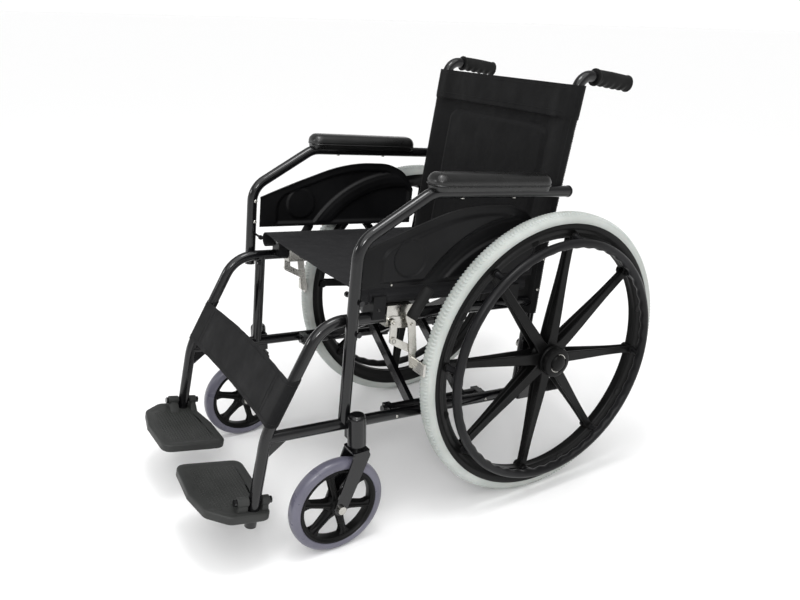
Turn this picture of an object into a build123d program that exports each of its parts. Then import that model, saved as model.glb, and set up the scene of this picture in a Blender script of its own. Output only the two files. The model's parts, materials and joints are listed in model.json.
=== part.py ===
from build123d import *
from math import atan2, cos, degrees, hypot, radians, sin
import os

# Folding manual wheelchair, in millimetres. +X is the occupant's left, -Y the front, +Z up.
# The floor is Z = 0 and the origin is under the middle of the chair.

# Rear wheels
AXLE_Y = 207.65
AXLE_Z = 305.0
WHEEL_X = 266.0
TYRE_R = 305.0
TYRE_SECTION_R = 17.0
RIM_R = 277.0
RIM_HALF_WIDTH = 14.7
RIM_INNER_R = 259.0
RIM_WEB_HALF_WIDTH = 8.0
RIM_LIP = (2.0, 9.0)
SPOKES = 8
SPOKE_PHASE = -8.3
SPOKE_ROOT = (28.0, 30.0)
SPOKE_CROWN = (20.0, 15.0)
SPOKE_OVERLAP = 5.0
HUB_R = 31.0
HUB_HALF_WIDTH = 26.0
AXLE_R = 6.0
AXLE_HEAD_R = 10.0
AXLE_HEAD = 6.0
AXLE_END_GAP = 4.0
AXLE_PLATE_THICKNESS = 3.5
AXLE_PLATE_CORNER_R = 13.0
AXLE_PLATE_REACH = 40.0
AXLE_PLATE_RISE = 22.0
RECEIVER_INNER_X = 192.0
RECEIVER_WALL = 2.5
HANDRIM_R = 250.5
HANDRIM_TUBE_R = 9.5
HANDRIM_OFFSET = 39.0
HANDRIM_LUG_R = 6.0
HANDRIM_FOOT_R = 258.0

# Tubular side frame. It leans back, so it is drawn in its own plane: u runs rearward along the
# lower tube and w upward at right angles to it, both from the foot of the frame under the axle.
FRAME_TILT = 5.06
FRAME_Z = 206.0
FRAME_X = 217.0
TUBE_R = 11.0
TUBE_WALL = 1.5
TOP_W = 206.0
POST_U = -446.0
REAR_U = -28.0
HANGER_KNEE = (-505.0, TOP_W)
HANGER_ANKLE = (-599.0, 6.0)
HANGER_END = (-621.3, -171.5)
KNEE_RADIUS = 70.0
ANKLE_RADIUS = 150.0
LOWER_REAR_U = 92.0
GUSSET_OUTLINE = ((-604, -5), (-553, -5), (-610, -52))
GUSSET_THICKNESS = 3.0
WELD_GAP = 0.1
CANE_BEND = (-24.0, 300.0)
HANDLE_CORNER = (8.0, 659.0)
HANDLE_END = (141.0, 650.5)
HANDLE_RADIUS = 30.0
CANE_RADIUS = 300.0
GRIP_START_U = 46.0
GRIP_R = 16.0
TIP_START_U = 50.0
TIP_R = 14.0
TIP_CAP = 5.0

# Armrests and side guards
ARM_X = 243.0
ARM_W = 439.0
ARM_FRONT_U = -460.0
ARM_FOOT_W = 180.0
ARM_ELBOW_W = 352.0
ARM_BEND_U = -321.0
ARM_REAR_U = 1.0
ARM_RADIUS = 55.0
ARM_BOLTS = ((-453.0, 192.0), (-453.0, 250.0))
HEAD = 5.0
PAD_START_U = -328.0
PAD_LENGTH = 269.0
PAD_WIDTH = 50.0
PAD_HEIGHT = 24.0
PAD_CORNER_R = 23.0
PAD_ROUND = 8.0
PAD_GAP = 0.2
GUARD_X = 228.3
GUARD_THICKNESS = 3.4
GUARD_BASE_W = 267.0

# Cross braces, seat rails and their saddles
RAIL_X = 208.0
RAIL_W = 244.0
RAIL_FRONT_U = -412.0
RAIL_REAR_U = -52.0
RAIL_PLUG = 4.0
FOOT_X = 193.0
FOOT_R = 10.0
FOOT_FRONT_U = -326.0
FOOT_REAR_U = -126.0
ROD_R = 5.0
ROD_HEAD_R = 8.0
HINGE_BLOCK_LENGTH = 16.0
HINGE_BLOCK_GAP = 1.0
LEG_WIDTH = 20.0
LEG_DEPTH = 10.0
LEG_US = (-281.0, -157.0)
LEG_STAGGER = 10.4
PIVOT_BOLT_R = 4.0
PIVOT_HEAD = 5.0
SADDLE_US = (-399.5, -88.0)
SADDLE_LENGTH = 26.0
SADDLE_LIP = 5.0
SADDLE_XS = (RAIL_X - 15, FRAME_X + 13)
RUNNING_FIT = 0.06
CLEAR = 0.4

# Slings: each is two half panels, hinged on the tubes that carry them
SLING_INNER_X = 34.0
SLING_EDGE_GAP = 12.0
SEAT_THICKNESS = 4.0
SEAT_W = 251.0
SEAT_FRONT_U = -440.0
SEAT_REAR_U = -54.0
BACK_THICKNESS = 4.0
BACK_BOTTOM_W = 200.0
BACK_TOP_W = 632.0
STRAP_THICKNESS = 3.0
STRAP_TOP_W = 106.0
STRAP_BOTTOM_W = 38.0

# Casters
STEM_X = 243.0
STEM_Y = AXLE_Y - 430.0
STEM_R = 8.0
HOUSING_R = 17.5
HOUSING_BOTTOM_Z = 212.0
HOUSING_TOP_Z = 264.0
DOME_HEIGHT = 11.0
DOME_ROUND = 10.0
BRACKET_WIDTH = 24.0
BRACKET_SETBACK = 6.0
CASTER_TRAIL = 44.0
CASTER_R = 95.5
CASTER_RIM_R = 78.0
CASTER_HALF_WIDTH = 14.0
CASTER_TYRE_ROUND = 10.0
CASTER_SPOKES = 6
CASTER_HUB_R = 16.0
CASTER_HUB_HALF_WIDTH = 17.0
FORK_GAP = 18.0
FORK_PLATE = 3.6
FORK_TOP_Z = 205.0
FORK_CROWN_LENGTH = 34.0
FORK_CROWN_CORNER_R = 4.0
FORK_SHOULDER_R = 9.0
FORK_SHOULDER_SPREAD = 8.0
FORK_END_R = 13.0
FORK_COLLAR_R = 13.0
CASTER_AXLE_R = 4.0
CASTER_NUT = 6.0
CASTER_RIM_DEPTH = 8.0
CASTER_SPOKE_ROOT = (15.0, 20.0)
CASTER_SPOKE_CROWN = (11.0, 16.0)

# Footplates
PIVOT_DROP = 130.0
PIN_R = 4.0
PIN_HEAD_R = 6.5
BARREL_R = 9.5
BARREL_FRONT = (-34.0, -12.4)
BARREL_REAR = (12.4, 27.0)
PLATE_TOP = -17.0
PLATE_THICKNESS = 14.0
PLATE_OUTLINE = ((36, -91), (165, -93), (238, -60), (238, 32), (190, 27), (130, 39), (38, 42))
PLATE_CORNER_R = 11.0
SLOT_INNER_X = 203.0
SLOT_HALF = 12.4

# Brakes: pivots in the frame's (u, w)
LEVER_PIVOT = (-336.6, 196.0)
LINK_PIVOT = (-371.0, 199.0)
LINK_JOINT = (-370.0, 165.0)
SHOE_JOINT = (-328.0, 143.6)
SHOE_CENTRE = (-323.0, 112.8)
LEVER_NECK = (-343.0, 212.0)
LEVER_TIP = (-313.0, 263.0)
BRAKE_PLATE = 3.0
CLAMP_PLATE_WIDTH = 22.0
LEVER_WIDTH = 16.0
LINK_WIDTH = 14.0
RIVET_HEAD = 3.0
BRAKE_X = 233.0
LINK_X = BRAKE_X + BRAKE_PLATE + CLEAR
SHOE_X = LINK_X + BRAKE_PLATE + CLEAR
LEVER_X = SHOE_X + BRAKE_PLATE + CLEAR
SHOE_BLADE = ((-317.2, 102.0), (-318.2, 123.0))
SHOE_THICKNESS = 5.0
SHOE_LENGTH = 36.0
LEVER_GRIP_R = 8.0
CLAMP_U = (-383.0, -329.0)
CLAMP_W = (190.0, 230.0)
RIVET_R = 3.0
RIVET_SLACK = 1.5
CLAMP_INNER_X = FRAME_X - 14

SIDE = Plane(
    origin=(0, AXLE_Y, FRAME_Z),
    x_dir=(0, cos(radians(FRAME_TILT)), -sin(radians(FRAME_TILT))),
    z_dir=(1, 0, 0),
)


def place(x, uw):
    """Point in the chair at height and depth (u, w) of the side frame, x to the left."""
    return SIDE.from_local_coords(Vector(uw[0], uw[1], x))


def towards(start, end, distance):
    """(u, w) point a given distance from start towards end."""
    span = hypot(end[0] - start[0], end[1] - start[1])
    share = distance / span
    return (start[0] + (end[0] - start[0]) * share, start[1] + (end[1] - start[1]) * share)


def rod(start, end, radius, mode=Mode.ADD):
    """Round bar between two points of the chair."""
    run = end - start
    with BuildSketch(Plane(origin=start, z_dir=run)) as section:
        Circle(radius)
    extrude(section.sketch, amount=run.length, mode=mode)


def rod_x(uw, start_x, end_x, radius, mode=Mode.ADD):
    """Round bar along X at a point of the side frame."""
    rod(place(start_x, uw), place(end_x, uw), radius, mode)


def bent_bar(x, points, bends, radius, mode=Mode.ADD):
    """Round bar of one radius swept along a bent line in the side frame's plane."""
    with BuildLine(SIDE.offset(x)) as route:
        FilletPolyline(*points, radius=bends)
    with BuildSketch(Plane(origin=route.line @ 0, z_dir=route.line % 0)) as section:
        Circle(radius)
    sweep(section.sketch, path=route.line, mode=mode)


def bent_tube(x, points, bends):
    """Frame tube along a bent line."""
    bent_bar(x, points, bends, TUBE_R)
    bent_bar(x, points, bends, TUBE_R - TUBE_WALL, Mode.SUBTRACT)


def block(u_range, w_range, x_range, mode=Mode.ADD):
    """Block square to the side frame."""
    with BuildSketch(SIDE.offset(x_range[0])) as outline:
        with Locations(((u_range[0] + u_range[1]) / 2, (w_range[0] + w_range[1]) / 2)):
            Rectangle(u_range[1] - u_range[0], w_range[1] - w_range[0])
    extrude(outline.sketch, amount=x_range[1] - x_range[0], mode=mode)


def strip(start, end, width, x, thickness):
    """Flat link with round ends between two pivots, its inner face at x."""
    with BuildSketch(SIDE.offset(x)) as outline:
        with Locations(start, end):
            Circle(width / 2)
        make_hull()
    extrude(outline.sketch, amount=thickness)


def turned(plane, angle):
    """The plane turned about its own normal."""
    turned_x = plane.x_dir.rotate(Axis((0, 0, 0), plane.z_dir), angle)
    return Plane(origin=plane.origin, x_dir=turned_x, z_dir=plane.z_dir)


def spoke(wheel_plane, angle, reach, root, crown):
    """Tapered spoke from one radius to another. Root and crown are its (width, thickness) there."""
    ray = turned(wheel_plane, angle)
    start = Plane(origin=ray.from_local_coords(Vector(0, reach[0], 0)), x_dir=ray.x_dir, z_dir=ray.y_dir)
    with BuildSketch(start) as root_section:
        Rectangle(*root)
    with BuildSketch(start.offset(reach[1] - reach[0])) as crown_section:
        Rectangle(*crown)
    loft([root_section.sketch, crown_section.sketch])


def save_pair(piece, name):
    """Write the left piece and its mirror image on the right."""
    piece.part.label = name + "_left"
    export_step(piece.part, f"parts/{name}_left.step")
    with BuildPart() as twin:
        mirror(piece.part, about=Plane.YZ)
    twin.part.label = name + "_right"
    export_step(twin.part, f"parts/{name}_right.step")


os.makedirs("parts", exist_ok=True)

# ---- side frame ----

HANGER = [(REAR_U, TOP_W), HANGER_KNEE, HANGER_ANKLE, HANGER_END]
CANE = [(REAR_U, 0), CANE_BEND, HANDLE_CORNER, HANDLE_END]
ARM = [(ARM_FRONT_U, ARM_FOOT_W), (ARM_FRONT_U, ARM_ELBOW_W), (ARM_BEND_U, ARM_W), (ARM_REAR_U, ARM_W)]
LOWER = (place(FRAME_X, (HANGER_ANKLE[0], 0)), place(FRAME_X, (LOWER_REAR_U, 0)))

SHANK = place(0, HANGER_END) - place(0, HANGER_ANKLE)
PIVOT = place(0, towards(HANGER_ANKLE, HANGER_END, PIVOT_DROP))
FOOT = Plane(origin=PIVOT, x_dir=(1, 0, 0), z_dir=-SHANK)


def foot_rod(span, radius, mode=Mode.ADD):
    """Round bar along the footplate's hinge, between two distances behind the hanger's line."""
    start = FOOT.from_local_coords(Vector(FRAME_X, span[0], 0))
    end = FOOT.from_local_coords(Vector(FRAME_X, span[1], 0))
    rod(start, end, radius, mode)


AXLE_UW = tuple(SIDE.to_local_coords(Vector(0, AXLE_Y, AXLE_Z)))[:2]
PLATE_X = FRAME_X + TUBE_R - TUBE_WALL
with BuildPart() as cane:
    with BuildSketch(SIDE.offset(PLATE_X)):
        plate_top = (REAR_U, AXLE_UW[1] + AXLE_PLATE_RISE)
        with Locations((REAR_U, 0), (REAR_U + AXLE_PLATE_REACH, 0), AXLE_UW, plate_top):
            Circle(AXLE_PLATE_CORNER_R)
        make_hull()
    extrude(amount=TUBE_WALL + AXLE_PLATE_THICKNESS)
    rod_x(AXLE_UW, RECEIVER_INNER_X, PLATE_X, AXLE_R + RECEIVER_WALL)
    rod_x(AXLE_UW, RECEIVER_INNER_X, PLATE_X + 2 * AXLE_PLATE_THICKNESS, AXLE_R, Mode.SUBTRACT)
    bent_bar(FRAME_X, CANE, [CANE_RADIUS, HANDLE_RADIUS], TUBE_R)
    bent_bar(FRAME_X, CANE, [CANE_RADIUS, HANDLE_RADIUS], TUBE_R - TUBE_WALL, Mode.SUBTRACT)
    rod(*LOWER, TUBE_R, Mode.SUBTRACT)
save_pair(cane, "back_cane_and_axle_plate")

with BuildPart() as hanger:
    bent_tube(FRAME_X, HANGER, [KNEE_RADIUS, ANKLE_RADIUS])
    bent_bar(FRAME_X, CANE, [CANE_RADIUS, HANDLE_RADIUS], TUBE_R, Mode.SUBTRACT)
    foot_rod((-TUBE_R, TUBE_R), PIN_R, Mode.SUBTRACT)
save_pair(hanger, "seat_tube_and_hanger")

BLOCK_US = (FOOT_FRONT_U - HINGE_BLOCK_LENGTH - HINGE_BLOCK_GAP, FOOT_REAR_U + HINGE_BLOCK_GAP)
with BuildPart() as lower_tube:
    for u in BLOCK_US:
        block((u, u + HINGE_BLOCK_LENGTH), (-FOOT_R, FOOT_R), (FOOT_X - FOOT_R, FRAME_X - TUBE_R / 2))
        rod(place(FOOT_X, (u, 0)), place(FOOT_X, (u + HINGE_BLOCK_LENGTH, 0)), ROD_R, Mode.SUBTRACT)
    with BuildSketch(SIDE.offset(FRAME_X - GUSSET_THICKNESS / 2)):
        with BuildLine():
            Polyline(*GUSSET_OUTLINE, close=True)
        make_face()
    extrude(amount=GUSSET_THICKNESS)
    rod(*LOWER, TUBE_R)
    rod(*LOWER, TUBE_R - TUBE_WALL, Mode.SUBTRACT)
    bent_bar(FRAME_X, HANGER, [KNEE_RADIUS, ANKLE_RADIUS], TUBE_R + WELD_GAP, Mode.SUBTRACT)
save_pair(lower_tube, "lower_tube")

with BuildPart() as arm_tube:
    bent_bar(ARM_X, ARM, ARM_RADIUS, TUBE_R)
    bent_bar(ARM_X, ARM, ARM_RADIUS, TUBE_R - TUBE_WALL, Mode.SUBTRACT)
    rod(place(ARM_X, (ARM_REAR_U - TIP_CAP, ARM_W)), place(ARM_X, ARM[-1]), TUBE_R)
save_pair(arm_tube, "armrest_tube")

with BuildPart() as arm_pad:
    seat_of_pad = place(ARM_X, (PAD_START_U, ARM_W + TUBE_R + PAD_GAP))
    with BuildSketch(Plane(origin=seat_of_pad, x_dir=SIDE.x_dir, z_dir=SIDE.y_dir)):
        with Locations((PAD_LENGTH / 2, 0)):
            RectangleRounded(PAD_LENGTH, PAD_WIDTH, PAD_CORNER_R)
    extrude(amount=PAD_HEIGHT)
    fillet(arm_pad.faces().sort_by(Axis.Z)[-1].edges(), PAD_ROUND)
save_pair(arm_pad, "armrest_pad")

GUARD_OUTLINE = ((-446, GUARD_BASE_W), (-446, 334), (-404, 351), (-332, 378), (-258, 402),
                 (-170, 412), (-110, 405), (-72, 382), (-50, 350), (-46, GUARD_BASE_W))
with BuildPart() as guard:
    with BuildSketch(SIDE.offset(GUARD_X)):
        with BuildLine():
            Polyline(GUARD_OUTLINE[1], GUARD_OUTLINE[0], GUARD_OUTLINE[-1], GUARD_OUTLINE[-2])
            Spline(*GUARD_OUTLINE[1:-1])
        make_face()
    extrude(amount=GUARD_THICKNESS)
save_pair(guard, "side_guard")

with BuildPart() as push_grip:
    grip_start = towards(HANDLE_CORNER, HANDLE_END, GRIP_START_U - HANDLE_CORNER[0])
    grip_end = towards(HANDLE_END, HANDLE_CORNER, -TIP_CAP)
    rod(place(FRAME_X, grip_start), place(FRAME_X, grip_end), GRIP_R)
    rod(place(FRAME_X, grip_start), place(FRAME_X, HANDLE_END), TUBE_R, Mode.SUBTRACT)
    fillet(push_grip.edges().filter_by(GeomType.CIRCLE).sort_by(Axis.Y)[-1], TIP_CAP)
save_pair(push_grip, "push_grip")

with BuildPart() as tip:
    rod(place(FRAME_X, (TIP_START_U, 0)), place(FRAME_X, (LOWER_REAR_U + TIP_CAP, 0)), TIP_R)
    rod(place(FRAME_X, (TIP_START_U, 0)), place(FRAME_X, (LOWER_REAR_U, 0)), TUBE_R, Mode.SUBTRACT)
save_pair(tip, "tipping_tip")

# ---- rear axle ----

AXLE_INNER_X = RECEIVER_INNER_X - AXLE_HEAD
AXLE_OUTER_X = WHEEL_X + HUB_HALF_WIDTH + AXLE_END_GAP
with BuildPart() as axle:
    rod_x(AXLE_UW, AXLE_INNER_X, AXLE_OUTER_X, AXLE_R)
    rod_x(AXLE_UW, AXLE_INNER_X, RECEIVER_INNER_X, AXLE_HEAD_R)
    rod_x(AXLE_UW, AXLE_OUTER_X, AXLE_OUTER_X + AXLE_HEAD, AXLE_HEAD_R)
save_pair(axle, "rear_axle")

# ---- rear wheels ----

WHEEL = Plane(origin=(WHEEL_X, AXLE_Y, AXLE_Z), x_dir=(0, 1, 0), z_dir=(1, 0, 0))
WHEEL_AXIS = Axis((WHEEL_X, AXLE_Y, AXLE_Z), (1, 0, 0))
WHEEL_SECTION = Plane(origin=(WHEEL_X, AXLE_Y, AXLE_Z), x_dir=(1, 0, 0), z_dir=(0, -1, 0))

with BuildPart() as tyre:
    with BuildSketch(WHEEL_SECTION):
        with Locations((0, TYRE_R - TYRE_SECTION_R)):
            Circle(TYRE_SECTION_R)
        with Locations((0, RIM_R - TYRE_SECTION_R)):
            Rectangle(4 * TYRE_SECTION_R, 2 * TYRE_SECTION_R, mode=Mode.SUBTRACT)
    revolve(axis=WHEEL_AXIS)
save_pair(tyre, "rear_tyre")

lip = (RIM_HALF_WIDTH - RIM_LIP[0], RIM_R - RIM_LIP[1])
with BuildPart() as wheel:
    with BuildSketch(WHEEL_SECTION):
        with BuildLine():
            Polyline((-RIM_HALF_WIDTH, RIM_R), (RIM_HALF_WIDTH, RIM_R), lip,
                     (RIM_WEB_HALF_WIDTH, RIM_INNER_R), (-RIM_WEB_HALF_WIDTH, RIM_INNER_R), (-lip[0], lip[1]),
                     close=True)
        make_face()
        with Locations((0, HUB_R / 2)):
            Rectangle(2 * HUB_HALF_WIDTH, HUB_R)
    revolve(axis=WHEEL_AXIS)
    spoke_reach = (HUB_R - SPOKE_OVERLAP, RIM_INNER_R + SPOKE_OVERLAP)
    for arm in range(SPOKES):
        spoke(WHEEL, SPOKE_PHASE + arm * 360 / SPOKES, spoke_reach, SPOKE_ROOT, SPOKE_CROWN)
    rod_x(AXLE_UW, WHEEL_X - HUB_HALF_WIDTH, WHEEL_X + HUB_HALF_WIDTH, AXLE_R + RUNNING_FIT, Mode.SUBTRACT)
save_pair(wheel, "rear_wheel")

with BuildPart() as handrim:
    with BuildSketch(WHEEL_SECTION):
        with Locations((HANDRIM_OFFSET, HANDRIM_R)):
            Circle(HANDRIM_TUBE_R)
    revolve(axis=WHEEL_AXIS)
    for arm in range(SPOKES):
        ray = turned(WHEEL, SPOKE_PHASE + arm * 360 / SPOKES)
        foot = ray.from_local_coords(Vector(0, HANDRIM_FOOT_R, RIM_HALF_WIDTH / 2))
        rod(foot, foot + Vector(HANDRIM_OFFSET - RIM_HALF_WIDTH / 2, 0, 0), HANDRIM_LUG_R)
    add(wheel.part, mode=Mode.SUBTRACT)
save_pair(handrim, "handrim")

# ---- cross braces and seat rails ----


def brace(foot_x, rail_x, stagger, bolts):
    """Foot sleeve and two legs that cross to the other side, ending at the seat rail. Bolts is the
    clearance of the holes for the pivot bolts."""
    foot_line = (place(foot_x, (FOOT_FRONT_U, 0)), place(foot_x, (FOOT_REAR_U, 0)))
    slope = degrees(atan2(RAIL_W, rail_x - foot_x))
    length = hypot(RAIL_W, rail_x - foot_x)
    for u in LEG_US:
        base = Plane(origin=place(foot_x, (u + stagger, 0)), x_dir=(1, 0, 0), z_dir=-SIDE.x_dir)
        with BuildSketch(turned(base, slope)) as leg:
            with Locations((length / 2, 0)):
                Rectangle(length, LEG_WIDTH)
        extrude(leg.sketch, amount=LEG_DEPTH / 2, both=True)
    rod(*foot_line, FOOT_R)
    rod(*foot_line, ROD_R + RUNNING_FIT, Mode.SUBTRACT)
    rod(place(rail_x, (SEAT_FRONT_U, RAIL_W)), place(rail_x, (0, RAIL_W)), TUBE_R, Mode.SUBTRACT)
    for u in LEG_US:
        bolt_start = place(0, (u - LEG_DEPTH, CROSSING_W))
        bolt_end = place(0, (u + LEG_STAGGER + LEG_DEPTH, CROSSING_W))
        rod(bolt_start, bolt_end, PIVOT_BOLT_R + bolts, Mode.SUBTRACT)


CROSSING_W = RAIL_W * FOOT_X / (FOOT_X + RAIL_X)
with BuildPart() as brace_left:
    brace(FOOT_X, -RAIL_X, 0, 0)
brace_left.part.label = "cross_brace_from_left"
export_step(brace_left.part, "parts/cross_brace_from_left.step")

with BuildPart() as brace_right:
    brace(-FOOT_X, RAIL_X, LEG_STAGGER, RUNNING_FIT)
brace_right.part.label = "cross_brace_from_right"
export_step(brace_right.part, "parts/cross_brace_from_right.step")

with BuildPart() as pivot_bolts:
    for u in LEG_US:
        start_u = u - LEG_DEPTH / 2
        end_u = start_u + LEG_DEPTH + LEG_STAGGER
        nut_u = end_u + CLEAR
        rod(place(0, (start_u, CROSSING_W)), place(0, (nut_u, CROSSING_W)), PIVOT_BOLT_R)
        rod(place(0, (start_u - PIVOT_HEAD, CROSSING_W)), place(0, (start_u, CROSSING_W)), 2 * PIVOT_BOLT_R)
        rod(place(0, (nut_u, CROSSING_W)), place(0, (nut_u + PIVOT_HEAD, CROSSING_W)), 2 * PIVOT_BOLT_R)
pivot_bolts.part.label = "brace_pivot_bolts"
export_step(pivot_bolts.part, "parts/brace_pivot_bolts.step")

with BuildPart() as rail:
    rail_ends = (place(RAIL_X, (RAIL_FRONT_U, RAIL_W)), place(RAIL_X, (RAIL_REAR_U, RAIL_W)))
    rod(*rail_ends, TUBE_R)
    rod(*rail_ends, TUBE_R - TUBE_WALL, Mode.SUBTRACT)
    for start_u in (RAIL_FRONT_U, RAIL_REAR_U - RAIL_PLUG):
        rod(place(RAIL_X, (start_u, RAIL_W)), place(RAIL_X, (start_u + RAIL_PLUG, RAIL_W)), TUBE_R)
save_pair(rail, "seat_rail")

with BuildPart() as saddles:
    for u in SADDLE_US:
        block((u - SADDLE_LENGTH / 2, u + SADDLE_LENGTH / 2), (TOP_W, RAIL_W + SADDLE_LIP), SADDLE_XS)
        block((u - SADDLE_LENGTH / 2, u + SADDLE_LENGTH / 2), (RAIL_W, RAIL_W + SADDLE_LIP),
              (RAIL_X - TUBE_R - CLEAR, RAIL_X + TUBE_R + CLEAR), Mode.SUBTRACT)
    rod(place(RAIL_X, (SEAT_FRONT_U, RAIL_W)), place(RAIL_X, (0, RAIL_W)), TUBE_R + CLEAR, Mode.SUBTRACT)
    rod(place(FRAME_X, (SEAT_FRONT_U, TOP_W)), place(FRAME_X, (0, TOP_W)), TUBE_R, Mode.SUBTRACT)
save_pair(saddles, "rail_saddles")

# ---- slings ----

with BuildPart() as seat_half:
    half_width = (SLING_INNER_X, RAIL_X - SLING_EDGE_GAP)
    block((SEAT_FRONT_U, SEAT_REAR_U), (SEAT_W, SEAT_W + SEAT_THICKNESS), half_width)
save_pair(seat_half, "seat_sling")


def upright_half(start, end, thickness):
    """Half of a sling between two upright tubes, in the plane of their lines."""
    line = Plane(origin=place(SLING_INNER_X, start), x_dir=(1, 0, 0), z_dir=place(0, end) - place(0, start))
    with BuildSketch(line) as section:
        with Locations(((FRAME_X - SLING_EDGE_GAP - SLING_INNER_X) / 2, 0)):
            Rectangle(FRAME_X - SLING_EDGE_GAP - SLING_INNER_X, thickness)
    extrude(section.sketch, amount=hypot(end[0] - start[0], end[1] - start[1]))


def on_line(start, end, w):
    """(u, w) point at height w on the line from start to end."""
    return (start[0] + (end[0] - start[0]) * (w - start[1]) / (end[1] - start[1]), w)


with BuildPart() as back_half:
    back_foot = on_line(CANE[0], CANE_BEND, BACK_BOTTOM_W)
    upright_half(back_foot, on_line(back_foot, HANDLE_CORNER, BACK_TOP_W), BACK_THICKNESS)
save_pair(back_half, "back_sling")

with BuildPart() as strap_half:
    strap_foot = on_line(HANGER_ANKLE, HANGER_KNEE, STRAP_BOTTOM_W)
    upright_half(strap_foot, on_line(HANGER_ANKLE, HANGER_KNEE, STRAP_TOP_W), STRAP_THICKNESS)
save_pair(strap_half, "calf_strap")

# ---- casters ----

with BuildPart() as housing:
    with BuildSketch(Plane.XY.offset(HOUSING_BOTTOM_Z)):
        with Locations((STEM_X, STEM_Y)):
            Circle(HOUSING_R)
    extrude(amount=HOUSING_TOP_Z - HOUSING_BOTTOM_Z)
    with BuildSketch(Plane.XY.offset(HOUSING_TOP_Z)):
        with Locations((STEM_X, STEM_Y)):
            Circle(HOUSING_R)
    extrude(amount=DOME_HEIGHT)
    fillet(housing.faces().sort_by(Axis.Z)[-1].edges(), DOME_ROUND)
    with BuildSketch(Plane.XY.offset(HOUSING_BOTTOM_Z + BRACKET_SETBACK)):
        with Locations(((STEM_X + FRAME_X) / 2, STEM_Y)):
            Rectangle(STEM_X - FRAME_X, BRACKET_WIDTH)
    extrude(amount=HOUSING_TOP_Z - HOUSING_BOTTOM_Z - 2 * BRACKET_SETBACK)
    rod(place(FRAME_X, (POST_U, 0)), place(FRAME_X, (POST_U, TOP_W)), TUBE_R)
    rod(place(FRAME_X, (POST_U, 0)), place(FRAME_X, (POST_U, TOP_W)), TUBE_R - TUBE_WALL, Mode.SUBTRACT)
    rod(*LOWER, TUBE_R, Mode.SUBTRACT)
    bent_bar(FRAME_X, HANGER, [KNEE_RADIUS, ANKLE_RADIUS], TUBE_R, Mode.SUBTRACT)
    rod(Vector(STEM_X, STEM_Y, HOUSING_BOTTOM_Z), Vector(STEM_X, STEM_Y, HOUSING_TOP_Z), STEM_R + RUNNING_FIT,
        Mode.SUBTRACT)
save_pair(housing, "front_post_and_caster_housing")

CASTER_Y = STEM_Y - CASTER_TRAIL
CASTER = Plane(origin=(STEM_X, CASTER_Y, CASTER_R), x_dir=(0, 1, 0), z_dir=(1, 0, 0))
CASTER_SECTION = Plane(origin=(STEM_X, CASTER_Y, CASTER_R), x_dir=(1, 0, 0), z_dir=(0, -1, 0))
CASTER_AXIS = Axis((STEM_X, CASTER_Y, CASTER_R), (1, 0, 0))


def caster_rod(start_x, end_x, radius, mode=Mode.ADD):
    """Round bar along the caster's axle, at distances from the middle of the wheel."""
    start = Vector(STEM_X + start_x, CASTER_Y, CASTER_R)
    rod(start, Vector(STEM_X + end_x, CASTER_Y, CASTER_R), radius, mode)


shoulder = FORK_TOP_Z - CASTER_R - FORK_SHOULDER_R - 1
with BuildPart() as fork:
    with BuildSketch(Plane.XY.offset(FORK_TOP_Z)):
        with Locations((STEM_X, STEM_Y)):
            RectangleRounded(2 * (FORK_GAP + FORK_PLATE), FORK_CROWN_LENGTH, FORK_CROWN_CORNER_R)
    extrude(amount=-FORK_PLATE)
    for inner in (FORK_GAP, -FORK_GAP - FORK_PLATE):
        with BuildSketch(CASTER.offset(inner)) as leg:
            with Locations(*[(CASTER_TRAIL + side * FORK_SHOULDER_SPREAD, shoulder) for side in (-1, 1)]):
                Circle(FORK_SHOULDER_R)
            Circle(FORK_END_R)
            make_hull()
        extrude(leg.sketch, amount=FORK_PLATE)
    rod(Vector(STEM_X, STEM_Y, FORK_TOP_Z), Vector(STEM_X, STEM_Y, HOUSING_TOP_Z - 2), STEM_R)
    rod(Vector(STEM_X, STEM_Y, FORK_TOP_Z), Vector(STEM_X, STEM_Y, HOUSING_BOTTOM_Z - 1), FORK_COLLAR_R)
    caster_rod(-2 * FORK_GAP, 2 * FORK_GAP, CASTER_AXLE_R, Mode.SUBTRACT)
save_pair(fork, "caster_fork")

with BuildPart() as caster_axle:
    fork_outside = FORK_GAP + FORK_PLATE
    caster_rod(-fork_outside, fork_outside, CASTER_AXLE_R)
    for start_x in (-fork_outside - CASTER_NUT, fork_outside):
        caster_rod(start_x, start_x + CASTER_NUT, 2 * CASTER_AXLE_R)
save_pair(caster_axle, "caster_axle")

with BuildPart() as caster_tyre:
    with BuildSketch(CASTER_SECTION):
        with Locations((0, (CASTER_R + CASTER_RIM_R) / 2)):
            Rectangle(2 * CASTER_HALF_WIDTH, CASTER_R - CASTER_RIM_R)
    revolve(axis=CASTER_AXIS)
    fillet(caster_tyre.faces().sort_by(SortBy.AREA)[-1].edges(), CASTER_TYRE_ROUND)
save_pair(caster_tyre, "caster_tyre")

with BuildPart() as caster_wheel:
    with BuildSketch(CASTER_SECTION):
        with Locations((0, CASTER_RIM_R - CASTER_RIM_DEPTH / 2)):
            Rectangle(2 * CASTER_HALF_WIDTH - 2, CASTER_RIM_DEPTH)
        with Locations((0, CASTER_HUB_R / 2)):
            Rectangle(2 * CASTER_HUB_HALF_WIDTH, CASTER_HUB_R)
    revolve(axis=CASTER_AXIS)
    for arm in range(CASTER_SPOKES):
        spoke(CASTER, arm * 360 / CASTER_SPOKES, (CASTER_HUB_R - 4, CASTER_RIM_R - 4), CASTER_SPOKE_ROOT,
              CASTER_SPOKE_CROWN)
    caster_rod(-CASTER_HUB_HALF_WIDTH, CASTER_HUB_HALF_WIDTH, CASTER_AXLE_R + RUNNING_FIT, Mode.SUBTRACT)
save_pair(caster_wheel, "caster_wheel")

# ---- footplates ----

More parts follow.
